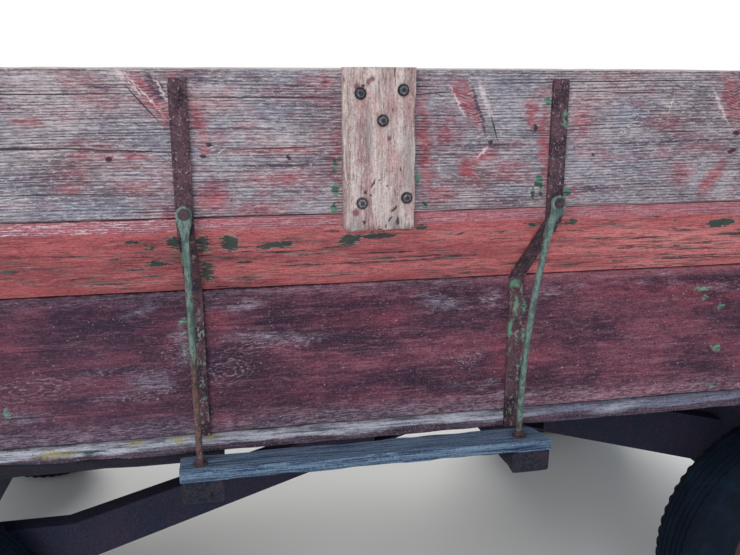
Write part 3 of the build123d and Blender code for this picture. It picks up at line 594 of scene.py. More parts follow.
def strap_finish():
    """Purple-brown rusted strap with flecks of old green paint."""
    f = Finish("strap_rust")
    grit = f.noise((340, 340, 340), 4, 0.7)
    patch = f.noise((34, 34, 26), 5, 0.7)
    f.colour = f.mix(f.step(patch, 0.38, 0.6), (40, 32, 44), (80, 56, 66))
    f.fleck((128, 96, 104), grit, 0.5, 0.66, 0.55)
    f.fleck((32, 24, 34), grit, 0.46, 0.36, 0.55)
    below = f.step(f.z, LOWER_Z + 0.015, LOWER_Z - 0.03)
    chance = f.noise((80, 40, 40), 5, 0.74, shift=(2, 6, 1))
    flecks = f.step(chance, f.step(below, 0, 1, 0.635, 0.575), f.step(below, 0, 1, 0.65, 0.59))
    f.coat((104, 124, 112), flecks, 0.85)
    placed = f.spots([
        (-421, 1148, 16, 12), (-1046, 1030, 8, 100), (-416, 1100, 6, 30), (-428, 1052, 7, 22),
        (-1046, 1240, 10, 30), (-405, 1470, 8, 20)], 0.6, f.wobbled((120, 3, 120), (0.01, 0, 0.01)))
    placed = f.times(placed, f.step(patch, 0.42, 0.5))
    f.coat((92, 134, 112), placed, 0.9)
    light = f.step(f.noise((150, 80, 110), 4, 0.75, shift=(7, 7, 7)), 0.59, 0.63)
    f.coat((148, 140, 134), light, 0.7)
    height = f.add(f.times(grit, 0.5), f.add(f.times(patch, 0.4), f.times(flecks, 0.5)))
    return f.done(f.step(flecks, 0, 1, 0.88, 0.6), height, 0.0011, 0.7, 0.3)


def rod_finish():
    """Green paint on the upper rod, worn through to rust lower down."""
    f = Finish("rod_paint")
    grit = f.noise((320, 320, 220), 4, 0.7)
    patch = f.noise((100, 100, 40), 5, 0.7)
    paint = f.mix(f.step(patch, 0.42, 0.6), (62, 82, 80), (110, 130, 122))
    rust = f.mix(f.step(patch, 0.38, 0.6), (62, 44, 46), (104, 76, 70))
    near = f.step(f.x, -0.75, -0.6)
    edge = f.add(f.z, f.times(patch, 0.12))
    high = f.step(edge, f.step(near, 0, 1, 1.1, 0.9), f.step(near, 0, 1, 1.17, 0.99))
    f.colour = f.mix(high, rust, paint)
    bare = f.step(patch, 0.58, 0.61)
    f.coat((58, 46, 50), bare, 0.8)
    f.fleck((142, 148, 140), grit, 0.54, 0.66, 0.5)
    height = f.add(f.times(grit, 0.6), f.times(patch, 0.5))
    return f.done(f.step(high, 0, 1, 0.85, 0.55), height, 0.001, 0.6, 0.35)


def iron(name, dark, light, chip, share=0.66, rough=0.8):
    """Painted iron gone dull and rusty: two tones, and chips of another colour."""
    f = Finish(name)
    grit = f.noise((220, 220, 220), 3, 0.6)
    patch = f.noise((9, 9, 9), 5, 0.65)
    runs = f.noise((26, 26, 3.5), 3, 0.6, shift=(2, 5, 3))
    f.colour = f.mix(f.step(patch, 0.35, 0.65), dark, light)
    f.fleck(dark, runs, 0.5, 0.7, 0.4)
    chips = f.step(f.noise((24, 24, 24), 5, 0.68, shift=(6, 1, 8)), share, share + 0.03)
    f.coat(chip, chips, 0.85)
    f.fleck([min(255, c * 1.35 + 6) for c in light], grit, 0.55, 0.68, 0.5)
    f.fleck([c * 0.5 for c in dark], grit, 0.45, 0.34, 0.5)
    height = f.add(f.times(grit, 0.5), f.less(f.times(patch, 0.6), f.times(chips, 0.4)))
    return f.done(f.step(patch, 0.3, 0.7, rough - 0.12, rough + 0.1), height, 0.0009, 0.5, 0.3)


def rubber():
    """Old tyre rubber, dusty in its hollows and finely cracked. Its blue-black is partly the rubber's own
    dark and partly painted shade.
    """
    f = Finish("tyre_rubber")
    grit = f.noise((320, 320, 320), 3, 0.6)
    dust = f.noise((12, 12, 12), 4, 0.6)
    cracks = f.step(f.cells((60, 150, 60)), 0.62, 0.75)
    f.colour = f.mix(f.step(dust, 0.42, 0.7), (6, 17, 30), (16, 31, 48))
    f.fleck((30, 46, 64), grit, 0.5, 0.75, 0.35)
    f.coat((6, 12, 22), cracks, 0.4)
    height = f.less(f.add(f.times(grit, 0.5), f.times(dust, 0.3)), f.times(cracks, 0.4))
    return f.done(f.step(dust, 0.3, 0.7, 0.8, 0.95), height, 0.0008, 0.5, 0.15)


TOPS = [top_paint("top_paint_behind", BEHIND_PATCH), top_paint("top_paint_before", BEFORE_PATCH),
        top_paint("top_paint_elsewhere", ELSEWHERE, False)]
FLARE = flare_paint()
LOWER = lower_paint()
STRIP = strip_paint()
PATCH = patch_wood()
INSIDE = bare_wood("inside_wood", (92, 84, 80), (140, 130, 122), (0, 90, 150), paint=(118, 70, 74))
CROSS_INSIDE = bare_wood("end_wood", (92, 84, 80), (140, 130, 122), (90, 0, 150), paint=(112, 70, 76))
FLOOR_WOOD = bare_wood("floor_wood", (86, 80, 74), (132, 124, 114), (0, 150, 90), worn=(106, 98, 90))
# Painted shade: the sills and long sills take near-black tones for the shade under the box. Their wood itself
# would be lighter.
SILL = bare_wood("sill_timber_in_painted_shade", (18, 22, 34), (42, 42, 54), (120, 0, 150), worn=(54, 42, 50))
LONG_SILL = bare_wood("long_sill_timber_in_painted_shade", (22, 22, 34), (42, 40, 50), (0, 120, 150), worn=(38, 36, 46))
# The plank's blue tones are partly its weathered wood and partly painted light: the blue of the sky lighting
# its top.
PLANK = bare_wood("plank_wood", (26, 46, 76), (106, 128, 150), (0, 330, 330), worn=(66, 86, 108),
                  paint=(22, 52, 62), places=[(-1030, -975, 45, 30), (-430, -975, 40, 28),
                                              (-860, -910, 160, 20)])
GATE = bare_wood("gate_wood", (96, 62, 74), (138, 92, 102), (110, 0, 230), worn=(92, 84, 92),
                 paint=(132, 64, 72))
STRAP = strap_finish()
ROD = rod_finish()
# The running gear's dark navy is partly rusty paint and partly painted shade: it carries the blue of the
# shade under the box.
GEAR = iron("gear_rust_and_painted_shade", (29, 35, 58), (50, 44, 62), (84, 50, 50))
GATE_IRON = iron("gate_iron", (58, 44, 50), (92, 66, 66), (92, 112, 102), 0.62)
BOLT = iron("bolt_rust", (38, 34, 42), (74, 58, 64), (92, 66, 60), 0.64)
# Painted highlight: the nuts take a lighter iron than their washers, to show them lit.
NUT = iron("nut_iron", (70, 78, 86), (116, 122, 126), (82, 60, 58), 0.6)
RIM = iron("rim_paint", (46, 36, 42), (78, 54, 56), (118, 62, 58), 0.6, 0.75)
TYRE = rubber()


# Building meshes


def rounded(section, r, step):
    """A (u, v) outline with eased corners and divided long edges, as (u, v, how much of a corner)."""
    points = []
    count = len(section)
    for i in range(count):
        before, here, after = (Vector(section[(i + k) % count]) for k in (-1, 0, 1))
        start = here + (before - here).normalized() * r
        end = here + (after - here).normalized() * r
        middle = (start + end) / 4 + here / 2
        points += [(start.x, start.y, 0.5), (middle.x, middle.y, 1), (end.x, end.y, 0.5)]
        reach = after + (here - after).normalized() * r
        parts = int((reach - end).length / step)
        for k in range(1, parts + 1):
            p = end.lerp(reach, k / (parts + 1))
            points.append((p.x, p.y, 0))
    return points


def circle(bm, place, turn, r, sides):
    """A ring of new points round a place, in the plane that turn gives."""
    points = []
    for k in range(sides):
        a = 2 * pi * k / sides
        points.append(bm.verts.new(place + turn @ Vector((r * cos(a), r * sin(a), 0))))
    return points


def skin(bm, rings):
    """Faces from each ring of points to the next, and a face on both ends."""
    count = len(rings[0])
    for a, b in zip(rings, rings[1:]):
        for k in range(count):
            bm.faces.new((a[k], a[(k + 1) % count], b[(k + 1) % count], b[k]))
    bm.faces.new(rings[0][::-1])
    bm.faces.new(rings[-1])


TURN = {"x": lambda s, u, v: (s, u, v), "y": lambda s, u, v: (u, s, v), "z": lambda s, u, v: (u, v, s)}


def run(bm, section, s0, s1, axis="x", step=0.03, across=0.03, r=0.0025, wave=0.0006, chip=0.002, seed=0,
        ragged=0.0015, shape=None):
    """A timber or strap: its section run along an axis, a little uneven, with eased and chipped edges."""
    ring = rounded(section, r, across)
    mid_u = sum(p[0] for p in ring) / len(ring)
    mid_v = sum(p[1] for p in ring) / len(ring)
    count = max(2, round(abs(s1 - s0) / step))
    rows = []
    for i in range(count + 1):
        s = s0 + (s1 - s0) * i / count
        row = []
        for u, v, corner in ring:
            # noise_vector gives other values in each run, so this takes three plain ones
            uneven = [noise.noise((s * 3 + seed, u * 11 + k * 31, v * 11)) for k in range(3)]
            bite = corner * chip * 2 * max(0, noise.noise((s * 17 + seed, u * 23 + 7, v * 23)))
            off = Vector((u - mid_u, v - mid_v)).normalized() * bite
            place = [s, u + uneven[0] * wave - off.x, v + uneven[1] * wave - off.y]
            if i in (0, count):
                place[0] -= abs(uneven[2]) * ragged * 2 * (1 if i else -1) * (1 if s1 > s0 else -1)
            if shape:
                place = shape(*place)
            row.append(bm.verts.new(TURN[axis](*place)))
        rows.append(row)
    skin(bm, rows)


def box_run(bm, low, high, axis, **more):
    """A square-edged timber between two corners, run along an axis."""
    u, v = [i for i in range(3) if i != "xyz".index(axis)]
    section = [(low[u], low[v]), (high[u], low[v]), (high[u], high[v]), (low[u], high[v])]
    s = "xyz".index(axis)
    run(bm, section, low[s], high[s], axis, **more)


def turned(bm, profile, place, axis, sides=24, spin=0, shape=None):
    """A lathe piece: (along, radius) points turned round an axis through a place. An open end is closed."""
    along = Vector(axis).normalized()
    frame_of = along.to_track_quat("Z", "Y").to_matrix()
    rings = []
    for step, r in profile:
        if r < 1e-6:
            rings.append([bm.verts.new(Vector(place) + along * step)])
            continue
        ring = []
        for k in range(sides):
            a = 2 * pi * k / sides + spin
            rr, ss = (r, step) if shape is None else shape(k, r, step)
            ring.append(bm.verts.new(Vector(place) + frame_of @ Vector((rr * cos(a), rr * sin(a), ss))))
        rings.append(ring)
    for a, b in zip(rings, rings[1:]):
        for k in range(sides):
            m = (k + 1) % sides
            if len(a) == 1:
                bm.faces.new((a[0], b[m], b[k]))
            elif len(b) == 1:
                bm.faces.new((a[k], a[m], b[0]))
            else:
                bm.faces.new((a[k], a[m], b[m], b[k]))
    for ring, turn in ((rings[0], -1), (rings[-1], 1)):
        if len(ring) > 1 and not profile[0] == profile[-1]:
            bm.faces.new(ring[::turn])


def ring_turned(bm, profile, place, axis, sides=48, shape=None):
    """A closed (along, radius) outline turned into a ring."""
    turned(bm, profile + [profile[0]], place, axis, sides, 0, shape)


def tube(bm, path, r, sides=10):
    """A round bar along a path of points."""
    points = [Vector(p) for p in path]
    rings = []
    for i, p in enumerate(points):
        ahead = (points[min(i + 1, len(points) - 1)] - points[max(i - 1, 0)]).normalized()
        turn = ahead.to_track_quat("Z", "Y").to_matrix()
        rings.append(circle(bm, p, turn, r, sides))
    skin(bm, rings)


def bolt(bm, place, axis, r=0.008, h=0.005, washer=0, sides=6, spin=0.3):
    """A bolt head or nut that stands on a face, with its washer."""
    base = 0
    if washer:
        turned(bm, [(0, 0), (0, washer), (0.0022, washer * 0.96), (0.0022, 0)], place, axis, 20)
        base = 0.002
    top = [(base, 0), (base, r), (base + h * 0.75, r), (base + h, r * 0.82), (base + h, 0)]
    turned(bm, top, place, axis, sides, spin)


def dome(bm, place, axis):
    """A carriage bolt's round head."""
    r, h = 0.009, 0.004
    turned(bm, [(0, r), (h * 0.55, r * 0.86), (h * 0.9, r * 0.5), (h, 0)], place, axis, 12)


def bead(bm, start, end, r=0.004, seed=0):
    """A weld bead between two points: a lumpy run."""
    a, b = Vector(start), Vector(end)
    count = max(3, round((b - a).length / 0.006))
    points = [a.lerp(b, i / count) for i in range(count + 1)]
    rings = []
    turn = (b - a).normalized().to_track_quat("Z", "Y").to_matrix()
    for i, p in enumerate(points):
        rr = r * (0.8 + 0.35 * (i % 2) + 0.25 * noise.noise((i * 0.7, seed, 0)))
        if i in (0, count):
            rr *= 0.5
        rings.append(circle(bm, p, turn, rr, 6))
    skin(bm, rings)


def piece(bm, name, body, materials, slot, nodes=(), pick=None, angle=38, at=None):
    """The finished mesh as an object that rides on a body. pick(middle, normal) gives a face's material."""
    bmesh.ops.recalc_face_normals(bm, faces=bm.faces[:])
    for v in bm.verts:
        place = v.co + (at or Vector())
        inside = Vector(max(a, min(b, c)) for a, b, c in zip(LOW, HIGH, place))
        v.co = inside - (at or Vector())
    if pick:
        for face in bm.faces:
            face.material_index = pick(face.calc_center_median(), face.normal)
    mesh = bpy.data.meshes.new(name)
    bm.to_mesh(mesh)
    bm.free()
    for material in materials:
        mesh.materials.append(material)
    mesh.polygons.foreach_set("use_smooth", [True] * len(mesh.polygons))
    mesh.set_sharp_from_angle(angle=radians(angle))
    made = bpy.data.objects.new(name, mesh)
    made.location = at or Vector()
    bpy.context.scene.collection.objects.link(made)
    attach(made, body)
    if nodes:
        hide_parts(*nodes)
    return made


# The four boards of each side


def sagging(z0, z1, seed):
    """Gives a board's long edges a slow wander, so that its seams aren't ruled."""
    def shape(s, u, v):
        share = (v - z0) / (z1 - z0)
        low = 0.0008 * (1 + noise.noise((s * 1.7 + seed, 0, 0)))
        high = 0.0008 * (1 + noise.noise((s * 1.7 + seed + 9, 0, 0)))
        return [s, u, v + low * (1 - share) - high * share]
    return shape


def rotten(side):
    """The bottom strip's lower edge: uneven, and rotted away in one place on the right."""
    def shape(s, u, v):
        share = (STRIP_Z - v) / (STRIP_Z - BOTTOM_Z)
        lift = 0.0012 + 0.0022 * max(0, noise.noise((s * 9, side * 3, 0)))
        if side < 0:
            for middle, half, rise in ((-1.245, 0.045, 0.006), (-1.41, 0.1, 0.01), (-1.2, 0.02, 0.004)):
                lift += rise * max(0, 1 - abs(s - middle) / half)
        return [s, u, v + lift * share]
    return shape


def outward(side):
    """Faces that look out of the box take the first material, and the others the second."""
    return lambda middle, normal: 0 if normal.y * side > -0.3 else 1


def stretches(side):
    """The top board's finishes: three on the right side's outer face, one on the left's, one inside."""
    def pick(middle, normal):
        if normal.y * side < 0.25 and normal.z < 0.5:
            return 3
        if side > 0 or not MARKS_REAR <= middle.x <= MARKS_FRONT:
            return 2
        return 0 if middle.x < PATCH_X else 1
    return pick


def board(name, node, finish, pick, corners, seed, **more):
    """One of the long boards of the side at hand, from its section on the left side."""
    bm = bmesh.new()
    run(bm, [(side * y, z) for y, z in corners], BOX_REAR, BOX_FRONT, seed=side * seed, **more)
    piece(bm, name + hand, "chassis", [*finish, INSIDE], "board_paint", [node + hand], pick)


SEAM_LOW, SEAM_HIGH = SEAM_Z - SEAM_GAP, SEAM_Z + SEAM_GAP
for hand, side in SIDES:
    board("top_planks_", "top_board_", TOPS, stretches(side),
          [(TOP_IN, SEAM_HIGH), (TOP_OUT, SEAM_HIGH), (TOP_OUT, TOP_Z), (TOP_IN, TOP_Z)],
          3.1, wave=0.0009, shape=sagging(SEAM_Z, TOP_Z, side))
    board("flare_planks_", "flare_board_", [FLARE], outward(side),
          [(TOP_OUT, FLARE_Z), (TOP_OUT, SEAM_LOW), (TOP_IN, SEAM_LOW), (FLOOR_IN, LOWER_Z + EDGE_H),
           (FLOOR_IN, LOWER_Z + SEAM_GAP), (FLOOR_OUT, LOWER_Z + SEAM_GAP)],
          5.3, wave=0.0007, chip=0.0015)
    board("lower_planks_", "lower_board_", [LOWER], outward(side),
          [(FLOOR_IN, STRIP_Z + SEAM_GAP), (FLOOR_OUT, STRIP_Z + SEAM_GAP), (FLOOR_OUT, LOWER_Z - SEAM_GAP),
           (FLOOR_IN, LOWER_Z - SEAM_GAP)],
          7.7, wave=0.0009, shape=sagging(STRIP_Z, LOWER_Z, side))

    bm = bmesh.new()
    section = [
        (side * FLOOR_IN, BOTTOM_Z), (side * STRIP_OUT, BOTTOM_Z), (side * STRIP_OUT, STRIP_Z - SEAM_GAP),
        (side * FLOOR_IN, STRIP_Z - SEAM_GAP)]
    worn = dict(seed=side * 9.1, step=0.012, across=0.012, chip=0.004, r=0.003, shape=rotten(side))
    if side > 0:
        run(bm, section, BOX_REAR, BOX_FRONT, **worn)
    else:
        run(bm, section, BOX_REAR, NOTCH_X - NOTCH_HALF, **worn)
        run(bm, section, NOTCH_X + NOTCH_HALF, BOX_FRONT, **worn)
        behind = [(y if abs(y) < STRIP_OUT else side * FLOOR_OUT, z) for y, z in section]
        run(bm, behind, NOTCH_X - NOTCH_HALF, NOTCH_X + NOTCH_HALF, **worn)
    piece(bm, "bottom_rail_" + hand, "chassis", [STRIP, INSIDE], "board_paint", ["bottom_strip_" + hand],
          outward(side))

# Bent strap stakes with their bolts, and the rods that brace them
BEND = atan2(TOP_OUT - FLOOR_OUT, FLARE_Z - LOWER_Z)
MITRE = sin(BEND) / (1 + cos(BEND)) * STAKE_T
for hand, side in SIDES:
    bm = bmesh.new()
    heads = bmesh.new()
    for i, x in enumerate(STAKE_X):
        foot = BOTTOM_Z if side < 0 and i == NOTCHED else STRIP_Z
        inner = [(TOP_OUT, TOP_Z - 0.017), (TOP_OUT, FLARE_Z), (FLOOR_OUT, LOWER_Z), (FLOOR_OUT, foot)]
        outer = [(y + STAKE_T, z - drop) for (y, z), drop in zip(inner, (0, MITRE, MITRE, 0))]
        ring = [(side * y, z) for y, z in inner + outer[::-1]]
        run(bm, ring, x - STAKE_W / 2, x + STAKE_W / 2, step=0.008, across=0.03, r=0.0012, wave=0.0005,
            chip=0.0006, seed=i + side, ragged=0.0008)
        for z, out in ((TOP_Z - 0.042, TOP_OUT), (LOWER_Z - 0.022, FLOOR_OUT), (0.905, FLOOR_OUT)):
            dome(heads, (x, side * (out + STAKE_T - 0.0004), z), (0, side, 0))
    piece(bm, "strap_stakes_" + hand, "chassis", [STRAP], "strap_steel", ["stakes_" + hand])
    piece(heads, "stake_bolts_" + hand, "chassis", [STRAP], "strap_steel")

    bm = bmesh.new()
    nuts = bmesh.new()
    for i, x in enumerate(STAKE_X):
        seat = BOTTOM_Z + (PLANK_H if side < 0 and i in ON_PLANK else 0)
        bent = side < 0 and i == NOTCHED
        foot = x - (0.012 if bent else 0.003)
        top = Vector((x, side * ROD_EYE_Y, ROD_EYE_Z - 0.01))
        knee = Vector((foot, side * ROD_FOOT_Y, seat + 0.02))
        bowed = 0.018 if bent else 0

        def line(t):
            """Where the bar's middle is, from its eye to its knee. One bar is bent."""
            bow = bowed * (1 - ((t - 0.5) / 0.62) ** 2) * min(1, t / 0.05)
            return top.lerp(knee, t) - Vector((bow, 0, 0))

        path = [line(0.1 + k * 0.9 / 12) for k in range(12)]
        knee = line(1)
        path += [knee + Vector((0, side * 0.0012, 0.012)), knee, knee - Vector((0, 0, 0.012))]
        path += [(knee.x, side * ROD_FOOT_Y, BOTTOM_Z - SILL_H + 0.006)]
        tube(bm, path, ROD_R)

        def forged(s, u, v):
            """The bar's end, hammered out into an eye."""
            t = (top.z - s) / (top.z - knee.z)
            down = min(1, max(0, (ROD_EYE_Z - s) / 0.042))
            half = EYE_R + (ROD_R - EYE_R) * down * down * (3 - 2 * down)
            if s > ROD_EYE_Z:
                half = max(EYE_R ** 2 - (s - ROD_EYE_Z) ** 2, 1e-6) ** 0.5
            middle = line(max(t, 0))
            return [s, middle.x + u * half / EYE_R, middle.y + v * (1 + 0.3 * down)]

        flat = [(-EYE_R, -0.0046), (EYE_R, -0.0046), (EYE_R, 0.0046), (-EYE_R, 0.0046)]
        run(bm, flat, ROD_EYE_Z - 0.06, ROD_EYE_Z + EYE_R - 0.0002, "z", step=0.0035, across=0.006,
            r=0.0016, wave=0.0004, chip=0.0008, seed=i * 3.3, ragged=0, shape=forged)
        turned(bm, [(0, 0), (0, 0.0065), (0.016, 0.0065)],
               (x, side * (TOP_OUT + STAKE_T - 0.001), ROD_EYE_Z), (0, side, 0), 10)
        bolt(nuts, (x, side * (ROD_EYE_Y + 0.0036), ROD_EYE_Z), (0, side, 0), 0.0072, 0.0052, 0.0095, 10,
             spin=i)
        bolt(nuts, (knee.x, side * ROD_FOOT_Y, seat), (0, 0, 1), 0.0092, 0.009, 0.0138, spin=0.2 + i)
    piece(bm, "brace_bars_" + hand, "chassis", [ROD], "strap_steel", ["brace_rods_" + hand])
    piece(nuts, "brace_nuts_" + hand, "chassis", [BOLT], "strap_steel")

# Cross sills, long sills and the floor
bm = bmesh.new()
for i, x in enumerate(STAKE_X):
    box_run(bm, (x - SILL_W / 2, -SILL_HALF, BOTTOM_Z - SILL_H), (x + SILL_W / 2, SILL_HALF, BOTTOM_Z), "y",
            seed=i * 2.3, chip=0.005, r=0.004, ragged=0.003, across=0.02)
piece(bm, "sill_timbers", "chassis", [SILL], "bare_wood", ["cross_sills"])
bm = bmesh.new()
low_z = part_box("long_sills")[0].z
for side in (-1, 1):
    y0, y1 = sorted(side * y for y in LONG_SILL_Y)
    box_run(bm, (STAKE_X[0] - SILL_W / 2, y0, low_z), (STAKE_X[5] + SILL_W / 2, y1, BOTTOM_Z - SILL_H), "x",
            seed=side * 4, chip=0.004, r=0.004)
    y0, y1 = sorted(side * y for y in RUNNER_Y)
    for i in range(3):
        x0 = STAKE_X[i - 1] + SILL_W / 2 if i > 0 else BOX_REAR
        box_run(bm, (x0, y0, BOTTOM_Z - RUNNER_H), (STAKE_X[i] - SILL_W / 2, y1, BOTTOM_Z), "x",
                seed=i * 1.3, chip=0.004, r=0.003)
piece(bm, "long_timbers", "chassis", [LONG_SILL], "bare_wood", ["long_sills"])
bm = bmesh.new()
pitch = (2 * FLOOR_IN + FLOOR_GAP) / FLOOR_COUNT
for i in range(FLOOR_COUNT):
    y = -FLOOR_IN + i * pitch
    box_run(bm, (BOX_REAR, y, BOTTOM_Z), (BOX_FRONT, y + pitch - FLOOR_GAP, BOTTOM_Z + FLOOR_H), "x",
            seed=i * 1.9, wave=0.0012, step=0.05, ragged=0.002)
piece(bm, "floor_planks", "chassis", [FLOOR_WOOD], "floor_wood", ["floor_boards"])

# Step plank and patch board
plank_low, plank_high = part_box("step_plank")
bm = bmesh.new()


def skewed(s, u, v):
    """The plank's sawn end runs askew, and its back corner is gone."""
    if s > plank_high.x - 0.02:
        s -= (u - plank_low.y) / (plank_high.y - plank_low.y) * 0.022
    return [s, u, v]


box_run(bm, plank_low, plank_high, "x", seed=3.7, step=0.012, across=0.01, chip=0.005, r=0.003, wave=0.0012,
        shape=skewed)
piece(bm, "step_board", "chassis", [PLANK], "bare_wood", ["step_plank"])

lo_patch, hi_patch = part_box("patch_board")


def split_foot(s, u, v):
    """The patch's lower end is broken off unevenly."""
    if s < lo_patch.z + 0.02:
        s += 0.004 * (1 + noise.noise((u * 90, 0, 3))) * (lo_patch.z + 0.02 - s) / 0.02
    return [s, u, v]


bm = bmesh.new()
box_run(bm, lo_patch, hi_patch, "z", seed=6.2, step=0.01, across=0.008, chip=0.003, r=0.003, wave=0.0008,
        shape=split_foot)
piece(bm, "patch_plank", "chassis", [PATCH], "bare_wood", ["patch_board"])
bm = bmesh.new()
for k, mark in enumerate(PATCH_BOLTS):
    x, z = mark[0] * MM, mark[1] * MM
    bolt(bm, (x, lo_patch.y + 0.0006, z), (0, -1, 0), 0.007, 0.0042, 0.0098, spin=k * 0.7)
    thread_end = [(0, 0), (0, 0.0036), (0.003, 0.0032), (0.003, 0)]
    turned(bm, thread_end, (x, lo_patch.y - 0.0054, z), (0, -1, 0), 12)


def nut_face(middle, normal):
    """The nuts are brighter than their washers and the bolts' ends: a painted highlight on the nuts."""
    return 1 if 0.0024 < lo_patch.y - middle.y < 0.0058 else 0


piece(bm, "patch_bolts", "chassis", [BOLT, NUT], "strap_steel", pick=nut_face)

# Wheels and tyres


def tread(k, r, step):
    """Shoulder lugs: every other pair of stations stands out."""
    low_shoulder, high_shoulder, groove = 0.33, 0.3635, 0.0035
    if low_shoulder < r < high_shoulder and k % 4 < 2:
        return r - groove, step * 0.985
    return r, step


def wheel_meshes():
    """A wheel and a tyre round the origin, with their outer side towards +Z of their own axis."""
    wheel = bmesh.new()
    rim = [
        (-0.057, 0.216), (-0.054, 0.2178), (-0.05, 0.216), (-0.049, 0.203), (-0.03, 0.2), (-0.02, 0.192),
        (0.018, 0.192), (0.03, 0.2), (0.049, 0.203), (0.05, 0.216), (0.054, 0.2178), (0.057, 0.216),
        (0.0565, 0.1985), (0.034, 0.1965), (0.022, 0.1885), (-0.022, 0.1885), (-0.034, 0.1965),
        (-0.0565, 0.1985)]
    ring_turned(wheel, rim, (0, 0, 0), (0, 0, 1), 64)
    disc = [
        (-0.004, 0.1885), (-0.006, 0.165), (0.004, 0.135), (0.01, 0.105), (0.0065, 0.086), (0.0065, 0.04),
        (0.001, 0.04), (0.001, 0.086), (0.004, 0.104), (-0.002, 0.134), (-0.012, 0.165), (-0.01, 0.1885)]
    ring_turned(wheel, disc, (0, 0, 0), (0, 0, 1), 64)
    hub = [
        (-0.058, 0.0186), (-0.058, 0.04), (-0.05, 0.044), (0, 0.046), (0, 0.081), (0.0068, 0.081),
        (0.0068, 0.048), (0.02, 0.045), (0.04, 0.037), (0.044, 0.033), (0.05, 0.031), (0.055, 0.022),
        (0.055, 0.0186)]
    ring_turned(wheel, hub, (0, 0, 0), (0, 0, 1), 40)
    cap = [(0.0545, 0), (0.0545, 0.021), (0.0552, 0.018), (0.0556, 0)]
    turned(wheel, cap, (0, 0, 0), (0, 0, 1), 24)
    bolt_circle, bolts, weld_circle, welds = 0.064, 6, 0.1875, 16
    for k in range(bolts):
        a = 2 * pi * k / bolts
        place = (bolt_circle * cos(a), bolt_circle * sin(a), 0.0062)
        nut = [(0, 0), (0, 0.011), (0.01, 0.0108), (0.013, 0.0085), (0.013, 0.005), (0.02, 0.0048), (0.02, 0)]
        turned(wheel, nut, place, (0, 0, 1), 6, a)
    tube(wheel, [(0.15, 0, 0), (0.158, 0, 0.014), (0.166, 0, 0.03)], 0.0032, 8)
    for k in range(welds):
        a = 2 * pi * (k + 0.5) / welds
        b = a + 0.12
        ends = [(weld_circle * cos(c), weld_circle * sin(c), -0.003) for c in (a, b)]
        bead(wheel, *ends, 0.0032, k)
    tyre = bmesh.new()
    half = [
        (0.041, 0.2045), (0.052, 0.212), (0.064, 0.228), (0.074, 0.246), (0.0805, 0.268), (0.0822, 0.285),
        (0.08, 0.302), (0.0765, 0.318), (0.077, 0.325), (0.0758, 0.334), (0.0745, 0.342), (0.07, 0.35),
        (0.06, 0.3568), (0.05, 0.361), (0.0462, 0.363), (0.0455, 0.356), (0.0405, 0.356), (0.0398, 0.3638),
        (0.03, 0.3642), (0.029, 0.3565), (0.024, 0.3565), (0.0232, 0.3645), (0.014, 0.3648), (0.013, 0.357),
        (0.008, 0.357), (0.0072, 0.365), (0, 0.365)]
    outline = half + [(-s, r) for s, r in half[-2::-1]]
    inner = [(-0.04, 0.2055), (-0.045, 0.214), (0.045, 0.214), (0.04, 0.2055)]
    ring_turned(tyre, outline + inner, (0, 0, 0), (0, 0, 1), 288, tread)
    return wheel, tyre


for end in ("front", "rear"):
    for hand, side in SIDES:
        lo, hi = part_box(f"tyre_{end}_{hand}")
        middle = (lo + hi) / 2
        face = Vector((0, side, 0)).to_track_quat("Z", "Y").to_matrix().to_4x4()
        for bm, word, material, slot in zip(wheel_meshes(), ("wheel", "tyre"), (RIM, TYRE),
                                            ("rim_paint", "tyre_rubber")):
            bm.transform(face)
            piece(bm, f"{word}_set_{end}_{hand}", f"{end}_{hand}_wheel", [material], slot,
                  [f"{word}_{end}_{hand}"], angle=30, at=middle)

# Carried-over iron and end boards: eased edges and a finish


def dress(nodes, material, width=0.002):
    """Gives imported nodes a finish, and eases their edges."""
    for name in nodes:
        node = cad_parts[name]
        node.data.materials.clear()
        node.data.materials.append(material)
        weld = node.modifiers.new("weld", "WELD")
        weld.merge_threshold = 0.00005
        ease = node.modifiers.new("ease", "BEVEL")
        ease.width = width
        ease.segments = 2
        ease.limit_method = "ANGLE"
        ease.angle_limit = radians(40)
        ease.harden_normals = False


dress(["hounds_rear", "hounds_front", "reach", "reach_collars", "axle_front", "axle_rear", "risers_front",
       "risers_rear", "bolster_front", "bolster_rear", "knuckle_right", "knuckle_left", "tie_rod",
       "steering_head", "tongue", "hitch"], GEAR)
dress(["gate_rod", "gate_straps"], GATE_IRON, 0.001)
dress(["gate_boards"], GATE, 0.003)
dress(["front_end_boards", "front_battens"], CROSS_INSIDE, 0.003)

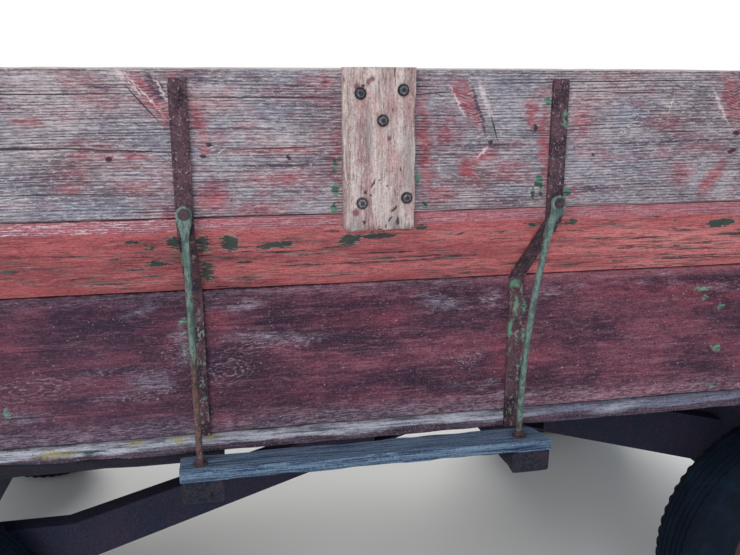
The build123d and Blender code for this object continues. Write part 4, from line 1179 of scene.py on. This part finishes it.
# Camera, floor and light
camera = bpy.data.objects.new("camera", bpy.data.cameras.new("camera"))
bpy.context.scene.collection.objects.link(camera)
camera_turn, camera_dip, camera_roll = -0.18819, 0.23994, -0.002266
camera.data.lens = 36.15
camera.data.sensor_width = 36
camera.data.clip_end = 200
camera.location = (-0.9681, -2.241, 1.5085)
turn = Matrix.Rotation(camera_turn, 4, "Z") @ Matrix.Rotation(pi / 2 - camera_dip, 4, "X")
camera.matrix_world = Matrix.Translation(camera.location) @ turn @ Matrix.Rotation(camera_roll, 4, "Z")
bpy.context.scene.camera = camera

bm = bmesh.new()
bmesh.ops.create_grid(bm, x_segments=8, y_segments=8, size=60)
mesh = bpy.data.meshes.new("ground")
bm.to_mesh(mesh)
bm.free()
ground = bpy.data.objects.new("ground", mesh)
bpy.context.scene.collection.objects.link(ground)
pale = Finish("ground_pale")
pale.colour = (0.78, 0.78, 0.78, 1)
mesh.materials.append(pale.done(0.95, shine=0))

world = bpy.data.worlds.new("studio")
bpy.context.scene.world = world
world.use_nodes = True
tree = world.node_tree
tree.nodes.clear()
soft = tree.nodes.new("ShaderNodeBackground")
soft.inputs["Color"].default_value = (0.86, 0.93, 1, 1)
soft.inputs["Strength"].default_value = 0.62
white = tree.nodes.new("ShaderNodeBackground")
white.inputs["Color"].default_value = (1, 1, 1, 1)
white.inputs["Strength"].default_value = 1
rays = tree.nodes.new("ShaderNodeLightPath")
choose = tree.nodes.new("ShaderNodeMixShader")
out = tree.nodes.new("ShaderNodeOutputWorld")
tree.links.new(rays.outputs["Is Camera Ray"], choose.inputs[0])
tree.links.new(soft.outputs[0], choose.inputs[1])
tree.links.new(white.outputs[0], choose.inputs[2])
tree.links.new(choose.outputs[0], out.inputs[0])


def lamp(name, place, aim, size, power, colour):
    """A large soft lamp that looks at a point."""
    made = bpy.data.objects.new(name, bpy.data.lights.new(name, "AREA"))
    made.data.shape = "SQUARE"
    made.data.size = size
    made.data.energy = power
    made.data.color = colour
    made.location = place
    made.rotation_euler = (Vector(aim) - Vector(place)).to_track_quat("-Z", "Y").to_euler()
    bpy.context.scene.collection.objects.link(made)


lamp("front_lamp", (-3.5, -6, 4.5), (-0.5, -0.5, 0.9), 5, 330, (1, 0.98, 0.96))
lamp("back_lamp", (1.5, 5.5, 5), (-0.3, 0, 1), 4, 380, (1, 0.97, 0.92))
bpy.context.scene.view_settings.view_transform = "Standard"
